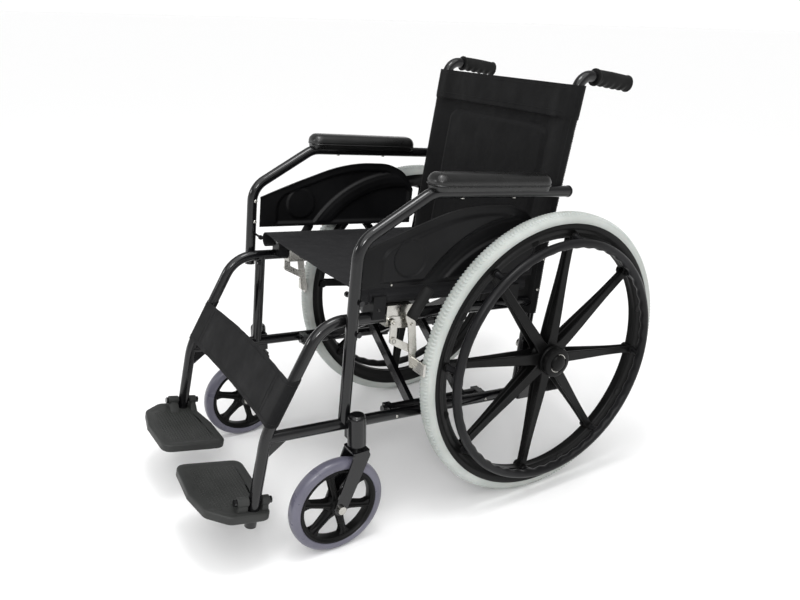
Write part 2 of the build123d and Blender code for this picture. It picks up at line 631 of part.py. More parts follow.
with BuildPart() as footplate:
    with BuildSketch(FOOT.offset(PLATE_TOP)) as outline:
        with BuildLine():
            Polyline(*PLATE_OUTLINE, close=True)
        make_face()
        fillet(outline.vertices(), PLATE_CORNER_R)
        with Locations(((SLOT_INNER_X + FRAME_X + 2 * SLOT_HALF) / 2, 0)):
            Rectangle(FRAME_X + 2 * SLOT_HALF - SLOT_INNER_X, 2 * SLOT_HALF, mode=Mode.SUBTRACT)
    extrude(amount=-PLATE_THICKNESS)
    for span in (BARREL_FRONT, BARREL_REAR):
        foot_rod(span, BARREL_R)
        with BuildSketch(FOOT.offset(PLATE_TOP)) as web:
            with Locations((FRAME_X, (span[0] + span[1]) / 2)):
                Rectangle(2 * BARREL_R, span[1] - span[0])
        extrude(web.sketch, amount=-PLATE_TOP)
    foot_rod((BARREL_FRONT[0], BARREL_REAR[1]), PIN_R + RUNNING_FIT, Mode.SUBTRACT)
save_pair(footplate, "footplate")

# ---- brakes ----

with BuildPart() as clamp:
    block(CLAMP_U, CLAMP_W, (CLAMP_INNER_X, BRAKE_X - BRAKE_PLATE))
    rod(place(FRAME_X, (CLAMP_U[0], TOP_W)), place(FRAME_X, (CLAMP_U[1], TOP_W)), TUBE_R, Mode.SUBTRACT)
    strip(LINK_PIVOT, LEVER_PIVOT, CLAMP_PLATE_WIDTH, BRAKE_X - BRAKE_PLATE, BRAKE_PLATE - CLEAR)
    rod_x(LINK_PIVOT, BRAKE_X - BRAKE_PLATE, LINK_X + BRAKE_PLATE + RIVET_HEAD, RIVET_R)
    rod_x(LEVER_PIVOT, BRAKE_X - BRAKE_PLATE, LEVER_X + BRAKE_PLATE + RIVET_HEAD, RIVET_R)
save_pair(clamp, "brake_clamp")

with BuildPart() as lever:
    strip(SHOE_JOINT, LEVER_PIVOT, LEVER_WIDTH, LEVER_X, BRAKE_PLATE)
    strip(LEVER_PIVOT, LEVER_NECK, LEVER_WIDTH, LEVER_X, BRAKE_PLATE)
    grip_x = LEVER_X + LEVER_GRIP_R
    rod(place(grip_x, LEVER_NECK), place(grip_x, LEVER_TIP), LEVER_GRIP_R)
    rod_x(LEVER_PIVOT, LEVER_X, LEVER_X + BRAKE_PLATE, RIVET_R + RUNNING_FIT, Mode.SUBTRACT)
    rod_x(SHOE_JOINT, SHOE_X, LEVER_X + BRAKE_PLATE, RIVET_R)
save_pair(lever, "brake_lever")

with BuildPart() as shoe_arm:
    strip(LINK_JOINT, SHOE_JOINT, LINK_WIDTH, SHOE_X, BRAKE_PLATE)
    strip(SHOE_JOINT, SHOE_CENTRE, LINK_WIDTH, SHOE_X, BRAKE_PLATE)
    strip(*SHOE_BLADE, SHOE_THICKNESS, SHOE_X, SHOE_LENGTH)
    rod_x(SHOE_JOINT, SHOE_X, SHOE_X + BRAKE_PLATE, RIVET_R + RUNNING_FIT, Mode.SUBTRACT)
    rod_x(LINK_JOINT, SHOE_X, SHOE_X + BRAKE_PLATE, RIVET_R + RIVET_SLACK, Mode.SUBTRACT)
save_pair(shoe_arm, "brake_shoe_arm")

with BuildPart() as link:
    strip(LINK_PIVOT, LINK_JOINT, LINK_WIDTH, LINK_X, BRAKE_PLATE)
    rod_x(LINK_PIVOT, LINK_X, LINK_X + BRAKE_PLATE, RIVET_R + RUNNING_FIT, Mode.SUBTRACT)
    rod_x(LINK_JOINT, LINK_X, SHOE_X + BRAKE_PLATE, RIVET_R)
save_pair(link, "brake_link")

# ---- fasteners of the side frame ----

with BuildPart() as fasteners:
    for spot in ARM_BOLTS:
        rod_x(spot, FRAME_X - TUBE_R - HEAD, ARM_X + TUBE_R + HEAD, HEAD / 2)
        rod_x(spot, ARM_X + TUBE_R, ARM_X + TUBE_R + HEAD, HEAD)
        rod_x(spot, FRAME_X - TUBE_R - HEAD, FRAME_X - TUBE_R, HEAD)
    rod_ends = (BLOCK_US[0] - HEAD, BLOCK_US[1] + HINGE_BLOCK_LENGTH + HEAD)
    rod(place(FOOT_X, (rod_ends[0], 0)), place(FOOT_X, (rod_ends[1], 0)), ROD_R)
    for u in (BLOCK_US[0] - HEAD, BLOCK_US[1] + HINGE_BLOCK_LENGTH):
        rod(place(FOOT_X, (u, 0)), place(FOOT_X, (u + HEAD, 0)), ROD_HEAD_R)
    foot_rod((BARREL_FRONT[0] - HEAD, BARREL_REAR[1] + HEAD), PIN_R)
    foot_rod((BARREL_FRONT[0] - HEAD, BARREL_FRONT[0] - CLEAR), PIN_HEAD_R)
    foot_rod((BARREL_REAR[1] + CLEAR, BARREL_REAR[1] + HEAD), PIN_HEAD_R)
save_pair(fasteners, "frame_fasteners")
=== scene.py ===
import json
from math import cos, hypot, pi, radians, sin, tau

import bpy
import numpy as np
from mathutils import Matrix, Vector, noise


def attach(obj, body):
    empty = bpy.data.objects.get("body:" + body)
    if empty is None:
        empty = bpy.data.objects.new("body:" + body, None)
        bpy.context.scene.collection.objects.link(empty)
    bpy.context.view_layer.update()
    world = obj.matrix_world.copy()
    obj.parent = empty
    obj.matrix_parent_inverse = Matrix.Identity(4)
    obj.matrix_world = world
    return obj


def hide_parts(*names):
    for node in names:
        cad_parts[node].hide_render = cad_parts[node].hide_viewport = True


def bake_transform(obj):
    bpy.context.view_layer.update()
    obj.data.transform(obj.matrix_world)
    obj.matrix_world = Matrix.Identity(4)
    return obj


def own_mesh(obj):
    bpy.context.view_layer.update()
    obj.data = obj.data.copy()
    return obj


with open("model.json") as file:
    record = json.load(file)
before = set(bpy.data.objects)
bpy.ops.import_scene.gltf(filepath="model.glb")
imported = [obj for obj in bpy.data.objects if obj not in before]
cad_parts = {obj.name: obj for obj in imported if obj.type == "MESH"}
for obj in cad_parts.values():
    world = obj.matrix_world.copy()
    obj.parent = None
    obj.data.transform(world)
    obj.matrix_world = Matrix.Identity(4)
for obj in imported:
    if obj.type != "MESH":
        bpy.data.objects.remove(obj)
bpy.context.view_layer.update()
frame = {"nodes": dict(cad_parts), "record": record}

# Sizes are millimetres, turned into metres where a vertex is made. +X is the occupant's left.
MM = 0.001
SIDES = (("left", 1), ("right", -1))
TILT = radians(5.06)
AXLE_Y = 207.65
AXLE_Z = 305.0
FRAME_Z = 206.0
WHEEL_X = 266.0
FRAME_X = 217.0
TUBE_R = 11.0
ARM_X = 243.0
ARM_W = 439.0
RAIL_X = 208.0
RAIL_W = 244.0
SADDLES = (-399.5, -88.0)
HANGER_KNEE = (-505.0, 206.0)
HANGER_ANKLE = (-599.0, 6.0)
HANGER_END = (-621.3, -171.5)
REAR_U = -28.0
CANE_BEND = (-24.0, 300.0)
HANDLE_CORNER = (8.0, 659.0)
HANDLE_END = (141.0, 650.5)
STEM = (243.0, AXLE_Y - 430.0)
CASTER = (243.0, AXLE_Y - 474.0, 95.5)
WHEEL_CENTRE = Vector((WHEEL_X, AXLE_Y, AXLE_Z)) * MM
CASTER_CENTRE = Vector(CASTER) * MM


# ---- points and frames of reference ----

def side_point(x, u, w):
    """Point at (u, w) in the plane of the leaning side frame, x to the left."""
    y = AXLE_Y + u * cos(TILT) + w * sin(TILT)
    z = FRAME_Z - u * sin(TILT) + w * cos(TILT)
    return Vector((x, y, z)) * MM


def along(start, end, share):
    """(u, w) between two points, share 0 at start and 1 at end."""
    return start[0] + (end[0] - start[0]) * share, start[1] + (end[1] - start[1]) * share


def on_line(start, end, w):
    """(u, w) at height w on the line through two points."""
    return along(start, end, (w - start[1]) / (end[1] - start[1]))


SHANK = (side_point(0, *HANGER_ANKLE) - side_point(0, *HANGER_END)).normalized()
PIVOT_SHARE = 130.0 / hypot(HANGER_END[0] - HANGER_ANKLE[0], HANGER_END[1] - HANGER_ANKLE[1])
PIVOT = side_point(0, *along(HANGER_ANKLE, HANGER_END, PIVOT_SHARE))
HINGE = SHANK.cross(Vector((1, 0, 0)))


def foot_point(x, v, h):
    """Point over the footplate: x to the left, v behind the hanger's line, h above the hinge."""
    return Vector((x * MM, 0, 0)) + PIVOT + HINGE * (v * MM) + SHANK * (h * MM)


def smooth(value, low, high):
    """0 below low, 1 above high and an even S between them."""
    t = min(1.0, max(0.0, (value - low) / (high - low)))
    return t * t * (3 - 2 * t)


def between(span, share):
    """Value at a share of the way along a (start, end) span."""
    return span[0] + (span[1] - span[0]) * share


# ---- mesh building ----

class Shape:
    """Vertices and faces of one piece, in metres."""

    def __init__(self):
        self.verts = []
        self.faces = []

    def skin(self, rings, around=True, along_closed=False, caps=(False, False)):
        """Faces between equal rings of points; around closes each ring, caps close the two ends."""
        start = len(self.verts)
        size = len(rings[0])
        for ring in rings:
            self.verts.extend(ring)
        rows = len(rings)
        for i in range(rows if along_closed else rows - 1):
            a = start + i * size
            b = start + (i + 1) % rows * size
            for j in range(size if around else size - 1):
                k = (j + 1) % size
                self.faces.append((a + j, a + k, b + k, b + j))
        if caps[0]:
            self.faces.append(tuple(range(start, start + size))[::-1])
        if caps[1]:
            self.faces.append(tuple(range(start + (rows - 1) * size, start + rows * size)))
        return self

    def turn(self, profile, centre, axis=(1, 0, 0), steps=48, closed=False):
        """Turned solid from (radius, distance along the axis) pairs; a radius of 0 closes an end."""
        axis = Vector(axis).normalized()
        first = axis.orthogonal().normalized()
        second = axis.cross(first)
        rings = []
        for radius, height in profile:
            r = max(radius, 0.02) * MM
            rings.append([centre + axis * (height * MM) + (first * cos(t) + second * sin(t)) * r
                          for t in (tau * k / steps for k in range(steps))])
        ends = (not closed, not closed)
        return self.skin(rings, along_closed=closed, caps=ends)

    def tube(self, path, radii, steps=20, caps=True, squash=1.0):
        """Round bar along a path of points, its radius in mm given once or for each point."""
        if not hasattr(radii, "__len__"):
            radii = [radii] * len(path)
        tangent = (path[1] - path[0]).normalized()
        side = tangent.orthogonal().normalized()
        rings = []
        for i, point in enumerate(path):
            ahead = path[min(i + 1, len(path) - 1)] - path[max(i - 1, 0)]
            side = (side - ahead.normalized() * side.dot(ahead.normalized())).normalized()
            up = ahead.normalized().cross(side)
            rings.append([point + (side * cos(t) + up * (sin(t) * squash)) * (radii[i] * MM)
                          for t in (tau * k / steps for k in range(steps))])
        return self.skin(rings, caps=(caps, caps))

    def slab(self, outline, layers, to_world):
        """Solid of stacked copies of a 2-D outline; layers are (inset, height) from bottom to top."""
        rings = [[to_world(p[0], p[1], height) for p in inset(outline, amount)]
                 for amount, height in layers]
        return self.skin(rings, caps=(True, True))

    def mirrored(self):
        twin = Shape()
        twin.verts = [Vector((-v[0], v[1], v[2])) for v in self.verts]
        twin.faces = [face[::-1] for face in self.faces]
        return twin


def inset(outline, amount):
    """The outline moved inward by amount, corner by corner. It runs anticlockwise."""
    count = len(outline)
    moved = []
    for i, point in enumerate(outline):
        before = outline[i - 1]
        after = outline[(i + 1) % count]
        d1 = Vector((point[0] - before[0], point[1] - before[1])).normalized()
        d2 = Vector((after[0] - point[0], after[1] - point[1])).normalized()
        inward = (Vector((-d1.y, d1.x)) + Vector((-d2.y, d2.x))).normalized()
        reach = amount / max(0.5, (1 + d1.dot(d2)) / 2) ** 0.5
        moved.append((point[0] + inward.x * reach, point[1] + inward.y * reach))
    return moved


def rounded(corners, radius, steps=6):
    """Anticlockwise outline with every corner rounded."""
    outline = []
    count = len(corners)
    for i, corner in enumerate(corners):
        c = Vector(corner)
        d1 = (Vector(corners[i - 1]) - c).normalized()
        d2 = (Vector(corners[(i + 1) % count]) - c).normalized()
        half = d1.angle(d2) / 2
        reach = min(radius / np.tan(half), 0.48 * (Vector(corners[i - 1]) - c).length,
                    0.48 * (Vector(corners[(i + 1) % count]) - c).length)
        a, b = c + d1 * reach, c + d2 * reach
        for k in range(steps + 1):
            t = k / steps
            p = a * (1 - t) ** 2 + c * (2 * t * (1 - t)) + b * t ** 2
            outline.append((p.x, p.y))
    return outline


def contains(outline, x, y):
    """Whether the outline goes round the point."""
    inside = False
    for (x1, y1), (x2, y2) in zip(outline, outline[1:] + outline[:1]):
        if (y1 > y) != (y2 > y) and x < (x2 - x1) * (y - y1) / (y2 - y1) + x1:
            inside = not inside
    return inside


def edge_layers(bottom, top, edge, steps=3, foot=None):
    """Layers of a slab with rounded rims. Foot is the bottom rim's radius where it differs."""
    foot = edge if foot is None else foot
    layers = [(foot * (1 - sin(t)), bottom + foot * (1 - cos(t)))
              for t in (pi / 2 * k / steps for k in range(steps + 1))]
    layers += [(edge * (1 - cos(t)), top - edge * (1 - sin(t)))
               for t in (pi / 2 * k / steps for k in range(steps + 1))]
    return layers


def add_object(name, data):
    """Blender object of the given data, linked into the scene."""
    made = bpy.data.objects.new(name, data)
    bpy.context.scene.collection.objects.link(made)
    return made


def make(name, shape, material, body, hide=(), sharp=38):
    """Blender object from a shape, shaded smooth with edges sharper than the given angle kept."""
    mesh = bpy.data.meshes.new(name)
    mesh.from_pydata([tuple(v) for v in shape.verts], [], shape.faces)
    mesh.validate()
    mesh.update()
    mesh.shade_smooth()
    mesh.set_sharp_from_angle(angle=radians(sharp))
    mesh.materials.append(material)
    piece = add_object(name, mesh)
    if body:
        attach(piece, body)
    if hide:
        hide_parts(*hide)
    return piece


def pair(name, shape, material, body, hide=(), sharp=38):
    """The left piece and its mirror image; {} in body and hide stands for the side."""
    made = []
    for side, sign in SIDES:
        own = shape if sign > 0 else shape.mirrored()
        nodes = [node.format(side) for node in hide]
        made.append(make(f"{name}_{side}", own, material, body.format(side), nodes, sharp))
    return made


# ---- materials ----

class Finish:
    """Procedural material: a principled shader with textures taken from the piece's own space."""

    def __init__(self, name, color, roughness, **more):
        self.material = bpy.data.materials.new(name)
        self.material.use_nodes = True
        self.tree = self.material.node_tree
        self.shader = self.tree.nodes["Principled BSDF"]
        self.space = self.tree.nodes.new("ShaderNodeTexCoord").outputs["Object"]
        self.set("Base Color", (*color, 1))
        self.set("Roughness", roughness)
        self.set("Specular IOR Level", 0.14)
        for socket, value in more.items():
            self.set(socket.replace("_", " "), value)
        self.height = None

    def set(self, socket, value):
        self.shader.inputs[socket].default_value = value

    def link(self, source, target):
        self.tree.links.new(source, target)

    def stretched(self, scale):
        mapping = self.tree.nodes.new("ShaderNodeMapping")
        mapping.inputs["Scale"].default_value = scale
        self.link(self.space, mapping.inputs["Vector"])
        return mapping.outputs["Vector"]

    def noise(self, scale, detail=3.0, stretch=None):
        node = self.tree.nodes.new("ShaderNodeTexNoise")
        node.inputs["Scale"].default_value = scale
        node.inputs["Detail"].default_value = detail
        self.link(self.stretched(stretch) if stretch else self.space, node.inputs["Vector"])
        return node.outputs["Fac"]

    def cells(self, scale):
        node = self.tree.nodes.new("ShaderNodeTexVoronoi")
        node.inputs["Scale"].default_value = scale
        self.link(self.space, node.inputs["Vector"])
        return node.outputs["Distance"]

    def bands(self, direction, period):
        """Fine parallel ridges along one axis, a period of them in metres."""
        node = self.tree.nodes.new("ShaderNodeTexWave")
        node.bands_direction = direction
        node.inputs["Scale"].default_value = pi / 10 / period
        node.inputs["Distortion"].default_value = 0.0
        self.link(self.space, node.inputs["Vector"])
        return node.outputs["Fac"]

    def math(self, operation, a, b):
        node = self.tree.nodes.new("ShaderNodeMath")
        node.operation = operation
        for socket, value in zip(node.inputs, (a, b)):
            if isinstance(value, (int, float)):
                socket.default_value = value
            else:
                self.link(value, socket)
        return node.outputs[0]

    def spread(self, source, low, high, start=0.3, end=0.7):
        """The source's values from start to end made to run from low to high."""
        node = self.tree.nodes.new("ShaderNodeMapRange")
        for socket, value in zip(("From Min", "From Max", "To Min", "To Max"), (start, end, low, high)):
            node.inputs[socket].default_value = value
        self.link(source, node.inputs["Value"])
        return node.outputs["Result"]

    def rough(self, source, low, high):
        self.link(self.spread(source, low, high), self.shader.inputs["Roughness"])
        return self

    def tint(self, source, first, second, start=0.35, end=0.65):
        """Base colour running between two colours with the source."""
        node = self.tree.nodes.new("ShaderNodeMix")
        node.data_type = "RGBA"
        self.link(self.spread(source, 0, 1, start, end), node.inputs["Factor"])
        node.inputs["A"].default_value = (*first, 1)
        node.inputs["B"].default_value = (*second, 1)
        self.link(node.outputs["Result"], self.shader.inputs["Base Color"])
        return self

    def bump(self, source, strength, distance):
        node = self.tree.nodes.new("ShaderNodeBump")
        node.inputs["Strength"].default_value = strength
        node.inputs["Distance"].default_value = distance
        self.link(source, node.inputs["Height"])
        if self.height:
            self.link(self.height, node.inputs["Normal"])
        self.height = node.outputs["Normal"]
        self.link(self.height, self.shader.inputs["Normal"])
        return self


def paint():
    finish = Finish("gloss_black_paint", (0.003, 0.003, 0.003), 0.2, Specular_IOR_Level=0.3,
                    Coat_Weight=0.3, Coat_Roughness=0.06)
    finish.rough(finish.noise(14, 4), 0.15, 0.24)
    finish.tint(finish.noise(5, 2), (0.0025, 0.0025, 0.003), (0.005, 0.005, 0.0055))
    finish.bump(finish.noise(320, 2), 0.05, 0.0004)
    return finish.material


def moulded(name, dark, light, rough, grain=1100, depth=0.16, shine=0.16):
    finish = Finish(name, dark, rough[0], Specular_IOR_Level=shine)
    finish.rough(finish.noise(22, 5), *rough)
    finish.tint(finish.noise(9, 4), dark, light)
    finish.bump(finish.cells(grain), depth, 0.0003)
    finish.bump(finish.noise(60, 3), 0.04, 0.001)
    return finish.material


def soft_rubber(name, dark, light, rough=(0.5, 0.68)):
    finish = Finish(name, dark, rough[0])
    finish.rough(finish.noise(40, 4), *rough)
    finish.tint(finish.noise(30, 5), dark, light)
    finish.bump(finish.noise(700, 3), 0.12, 0.0003)
    return finish.material


def pale_tyre():
    finish = Finish("pale_tyre_rubber", (0.44, 0.46, 0.44), 0.55, Subsurface_Weight=0.03)
    finish.rough(finish.noise(35, 4), 0.5, 0.68)
    finish.tint(finish.noise(16, 6), (0.39, 0.41, 0.39), (0.47, 0.49, 0.47))
    finish.bump(finish.noise(500, 3), 0.08, 0.0003)
    return finish.material


def caster_rubber():
    finish = Finish("grey_polyurethane", (0.10, 0.098, 0.13), 0.3, Specular_IOR_Level=0.4, Coat_Weight=0.25,
                    Coat_Roughness=0.15)
    finish.rough(finish.noise(30, 4), 0.24, 0.38)
    finish.tint(finish.noise(12, 5), (0.085, 0.083, 0.112), (0.118, 0.115, 0.152))
    finish.bump(finish.noise(260, 3), 0.06, 0.0003)
    return finish.material


def zinc():
    finish = Finish("zinc_plate", (0.46, 0.45, 0.42), 0.26, Metallic=1.0)
    finish.rough(finish.noise(60, 5), 0.2, 0.32)
    finish.tint(finish.noise(26, 5), (0.40, 0.39, 0.36), (0.54, 0.53, 0.50))
    finish.bump(finish.noise(900, 3, (1, 0.15, 1)), 0.03, 0.0001)
    return finish.material


def woven(name, across, up, dark, light, period=0.0011, gloss=(0.62, 0.8), shine=0.12):
    """Plain woven nylon with yarns along the two axes of the cloth."""
    finish = Finish(name, dark, gloss[0], Specular_IOR_Level=shine, Sheen_Weight=0.03, Sheen_Roughness=0.5)
    weave = finish.math("MULTIPLY", finish.bands(across, period), finish.bands(up, period))
    slub = finish.noise(240, 3, (1, 0.12, 1) if across == "X" else (0.12, 1, 1))
    finish.rough(finish.noise(18, 4), *gloss)
    finish.tint(finish.math("ADD", finish.math("MULTIPLY", slub, 0.6), finish.math("MULTIPLY", weave, 0.4)),
                dark, light)
    finish.bump(weave, 0.35, 0.0003)
    finish.bump(slub, 0.12, 0.0005)
    finish.bump(finish.noise(28, 3), 0.10, 0.004)
    return finish.material


def hide_vinyl():
    finish = Finish("arm_pad_skin", (0.004, 0.004, 0.004), 0.32, Specular_IOR_Level=0.5)
    finish.rough(finish.noise(26, 4), 0.24, 0.34)
    finish.tint(finish.noise(12, 4), (0.004, 0.004, 0.004), (0.008, 0.008, 0.008))
    finish.bump(finish.cells(620), 0.3, 0.0004)
    finish.bump(finish.noise(90, 4), 0.06, 0.001)
    return finish.material


PAINT = paint()
MOULDED = moulded("moulded_black_plastic", (0.003, 0.003, 0.0033), (0.006, 0.006, 0.0065), (0.36, 0.48))
WHEEL_PLASTIC = moulded("wheel_plastic", (0.003, 0.003, 0.003), (0.006, 0.006, 0.006), (0.3, 0.42),
                        grain=800, depth=0.12, shine=0.12)
RIM_PLASTIC = moulded("handrim_plastic", (0.006, 0.006, 0.0065), (0.011, 0.011, 0.012), (0.28, 0.4),
                      grain=900, depth=0.1)
PLATE_PLASTIC = moulded("footplate_plastic", (0.020, 0.021, 0.020), (0.034, 0.035, 0.034), (0.44, 0.58),
                        grain=900, depth=0.25, shine=0.26)
GRIP = soft_rubber("grip_rubber", (0.005, 0.005, 0.005), (0.010, 0.010, 0.010))
TYRE = pale_tyre()
CASTER_TYRE = caster_rubber()
ZINC = zinc()
# The seat's cloth is the same black nylon as the back's; its lighter colour here is painted top light on the
# seat.
SEAT_CLOTH = woven("seat_nylon", "X", "Y", (0.005, 0.005, 0.006), (0.014, 0.014, 0.015), shine=0.22)
BACK_CLOTH = woven("back_nylon", "X", "Z", (0.003, 0.003, 0.0033), (0.007, 0.007, 0.0074))
STRAP_CLOTH = woven("strap_nylon", "X", "Z", (0.004, 0.004, 0.0045), (0.009, 0.009, 0.0095),
                    period=0.0013)
THREAD = soft_rubber("sewing_thread", (0.010, 0.010, 0.010), (0.022, 0.022, 0.022), (0.55, 0.75))
PAD_SKIN = hide_vinyl()

CAD_FINISH = {
    "frame_paint": PAINT, "moulded_plastic": MOULDED, "grip_rubber": GRIP, "zinc": ZINC,
    "wheel_plastic": WHEEL_PLASTIC, "caster_tyre": CASTER_TYRE, "rear_tyre": TYRE,
    "upholstery": SEAT_CLOTH, "arm_pad": PAD_SKIN,
}


def dress_cad():
    """Every CAD node takes the finish of its material slot in the record."""
    for row in frame["record"]["subparts"]:
        node = frame["nodes"][row["node"]]
        node.data.materials.clear()
        node.data.materials.append(CAD_FINISH[row["material_slot"]])


# ---- rear wheels ----

SPOKE_PHASE = -8.3
SPOKES = 8
SPOKE_PITCH = 360 / SPOKES
RIM_EDGE = 285.0
RIM_INNER = 254.0
TREAD_R = 288.0
TREAD_SECTION = 16.4
NIB_DEPTH = 1.1
NIBS = 250


def wheel_point(radius, angle, x):
    """Point of the left rear wheel, the angle in degrees from straight up towards the front."""
    a = radians(angle)
    return Vector((WHEEL_X + x, AXLE_Y - radius * sin(a), AXLE_Z + radius * cos(a))) * MM


def rear_tyre():
    """Round tread with a row of short curved nibs on each shoulder."""
    profile = [(TREAD_R + TREAD_SECTION * cos(t), TREAD_SECTION * sin(t))
               for t in (radians(-128 + 256 * k / 28) for k in range(29))]
    shape = Shape().turn(profile, WHEEL_CENTRE, steps=160, closed=True)
    nib_reach = TREAD_SECTION - NIB_DEPTH
    for side in (-1, 1):
        for i in range(NIBS):
            turn_angle = 360 * (i + 0.25 * side) / NIBS
            path = []
            for k in range(5):
                t = radians(side * (8 + 10 * k))
                sweep = turn_angle + 0.3 * sin(pi * k / 4)
                path.append(wheel_point(TREAD_R + nib_reach * cos(t), sweep, nib_reach * sin(t)))
            shape.tube(path, (1.9, 2.8, 3.0, 2.8, 1.7), steps=8)
    return shape


def beam(shape, point, start, end, width, depth, angle, steps=9):
    """I-beam spoke of a moulded wheel. Width and depth are functions of the radius."""
    rings = []
    for k in range(steps):
        r = start + (end - start) * k / (steps - 1)
        w, d = width(r) / 2, depth(r) / 2
        flange, web, chamfer = min(4.2, d * 0.32), w * 0.3, min(1.2, w * 0.2)
        half = [(w - chamfer, d), (w, d - chamfer), (w, d - flange + 0.8), (w - 0.8, d - flange),
                (web + 1, d - flange - 1.2), (web, d - flange - 2.4)]
        section = half + [(a, -b) for a, b in half[::-1]]
        section += [(-a, b) for a, b in section[::-1]]
        rings.append([point(r, angle, b, a) for a, b in section])
    return shape.skin(rings, caps=(True, True))


def spoke_point(r, angle, x, across):
    turned = radians(angle)
    base = wheel_point(r, angle, x)
    return base + Vector((0, -cos(turned), -sin(turned))) * (across * MM)


def spoke_width(r):
    """Wide at the hub, narrowest before the rim and flared where it meets the rim."""
    root = 5 * (1 - smooth(r, 26, 44))
    flare = 7 * smooth(r, 247, 262)
    return 23 - 7.5 * smooth(r, 26, 210) + root + flare


def spoke_depth(r):
    return 31 - 15 * smooth(r, 20, 245)


def rear_wheel():
    """Moulded wheel: rim, hub and spokes, a boss at each spoke and a half-moon bump between them."""
    outer = [(278, 17.3), (283.4, 17.1), (RIM_EDGE, 16.2), (284.0, 13.5), (279, 10)]
    half = [(276, 17.2), (271.5, 15.6), (268, 12.8), (262.5, 11.2), (258.5, 11.4), (255.6, 10.2),
            (RIM_INNER, 7.8), (RIM_INNER + 1.2, 3)]
    rim = outer[::-1] + half
    rim += [(r, -h) for r, h in rim[::-1]]
    shape = Shape().turn(rim, WHEEL_CENTRE, steps=192, closed=True)
    hub = [(7, -26), (24.5, -26), (30.5, -24.5), (31, -22), (31, -8), (27, -3), (27, 14), (30.5, 19),
           (31, 22), (29, 26), (7, 26)]
    shape.turn(hub, WHEEL_CENTRE, steps=64)
    for i in range(SPOKES):
        angle = SPOKE_PHASE + SPOKE_PITCH * i
        beam(shape, spoke_point, 26, 261, spoke_width, spoke_depth, angle, 22)
        boss = wheel_point(258, angle, 0)
        shape.turn([(0, -16), (8.2, -16), (9, -15), (9, 13), (8.2, 14), (0, 14)], boss, steps=28)
        bump = wheel_point(264.5, angle + SPOKE_PITCH / 2, 0)
        shape.turn([(0, 2), (9.2, 2), (9.6, 2.6), (9.6, 11.4), (8.8, 12.2), (0, 12.4)], bump, steps=28)
    return shape


def hub_cap():
    cap = [(24, 25), (30.5, 25.5), (31.6, 27.5), (31.8, 36), (30.6, 39.6), (27.5, 41.4), (21, 41.8),
           (20, 40.2), (17.8, 40.0), (16.9, 41.8), (15.8, 44.6), (12.4, 46.6), (7, 47.8), (0, 48.1)]
    return Shape().turn(cap, WHEEL_CENTRE, steps=64)


def hub_clips():
    """Two bright arcs of the quick-release ring that show around the hub cap's button."""
    out, radius, thick = 41.0, 18.9, 1.15
    shape = Shape()
    for start, end in ((20, 95), (205, 275)):
        path = []
        for k in range(13):
            a = radians(start + (end - start) * k / 12)
            path.append(Vector((WHEEL_X + out, AXLE_Y + radius * cos(a), AXLE_Z + radius * sin(a))) * MM)
        shape.tube(path, thick, steps=8)
    return shape


def handrim():
    """Push rim with finger waves on its inner side, and the posts that hold it."""
    offset, radius, tube, waves, steps = 39.0, 250.5, 9.3, 48, 480
    rings = []
    for i in range(steps):
        turned = 360 * i / steps
        ripple = 0.5 + 0.5 * cos(radians(turned * waves))
        ring = []
        for j in range(18):
            a = tau * j / 18
            inside = smooth(-cos(a) - 0.35 * sin(a), 0.15, 1.0)
            own = tube * (1.02 - 0.02 * cos(2 * a)) - 2.2 * ripple * inside
            ring.append(wheel_point(radius + own * cos(a), turned, offset + own * sin(a)))
        rings.append(ring)
    shape = Shape().skin(rings, along_closed=True)
    for i in range(SPOKES):
        angle = SPOKE_PHASE + SPOKE_PITCH * i
        foot = wheel_point(258, angle, 0)
        head = wheel_point(252, angle, 0)
        path = [foot.lerp(head, t) + Vector((x * MM, 0, 0)) for t, x in
                ((0, 13.8), (0.1, 16), (0.3, 20), (0.6, 26), (0.85, 31), (1, 35))]
        shape.tube(path, [7.6, 7.0, 6.8, 6.8, 7.0, 7.6], steps=20)
    return shape


# ---- casters ----

CASTER_SPOKES = 6
CASTER_PHASE = 12


def caster_point(r, angle, x, across=0.0):
    a = radians(angle)
    point = Vector((CASTER[0] + x, CASTER[1] - r * sin(a), CASTER[2] + r * cos(a)))
    return (point + Vector((0, -cos(a), -sin(a))) * across) * MM


def caster_tyre():
    half = [(95.5, 0), (95.4, 3), (95.0, 6), (94.0, 8.8), (92.2, 11.2), (89.6, 12.9), (86, 13.8),
            (82, 14.0), (79.2, 13.6), (78, 12.2), (78, 6)]
    profile = [(r, -h) for r, h in half[:0:-1]] + half
    return Shape().turn(profile, CASTER_CENTRE, steps=128, closed=True)


def caster_spoke_width(r):
    return 11 + 9 * (1 - smooth(r, 14, 30)) + 15 * smooth(r, 52, 72) ** 1.6


def caster_spoke_depth(r):
    return 20 - 5 * smooth(r, 16, 66)


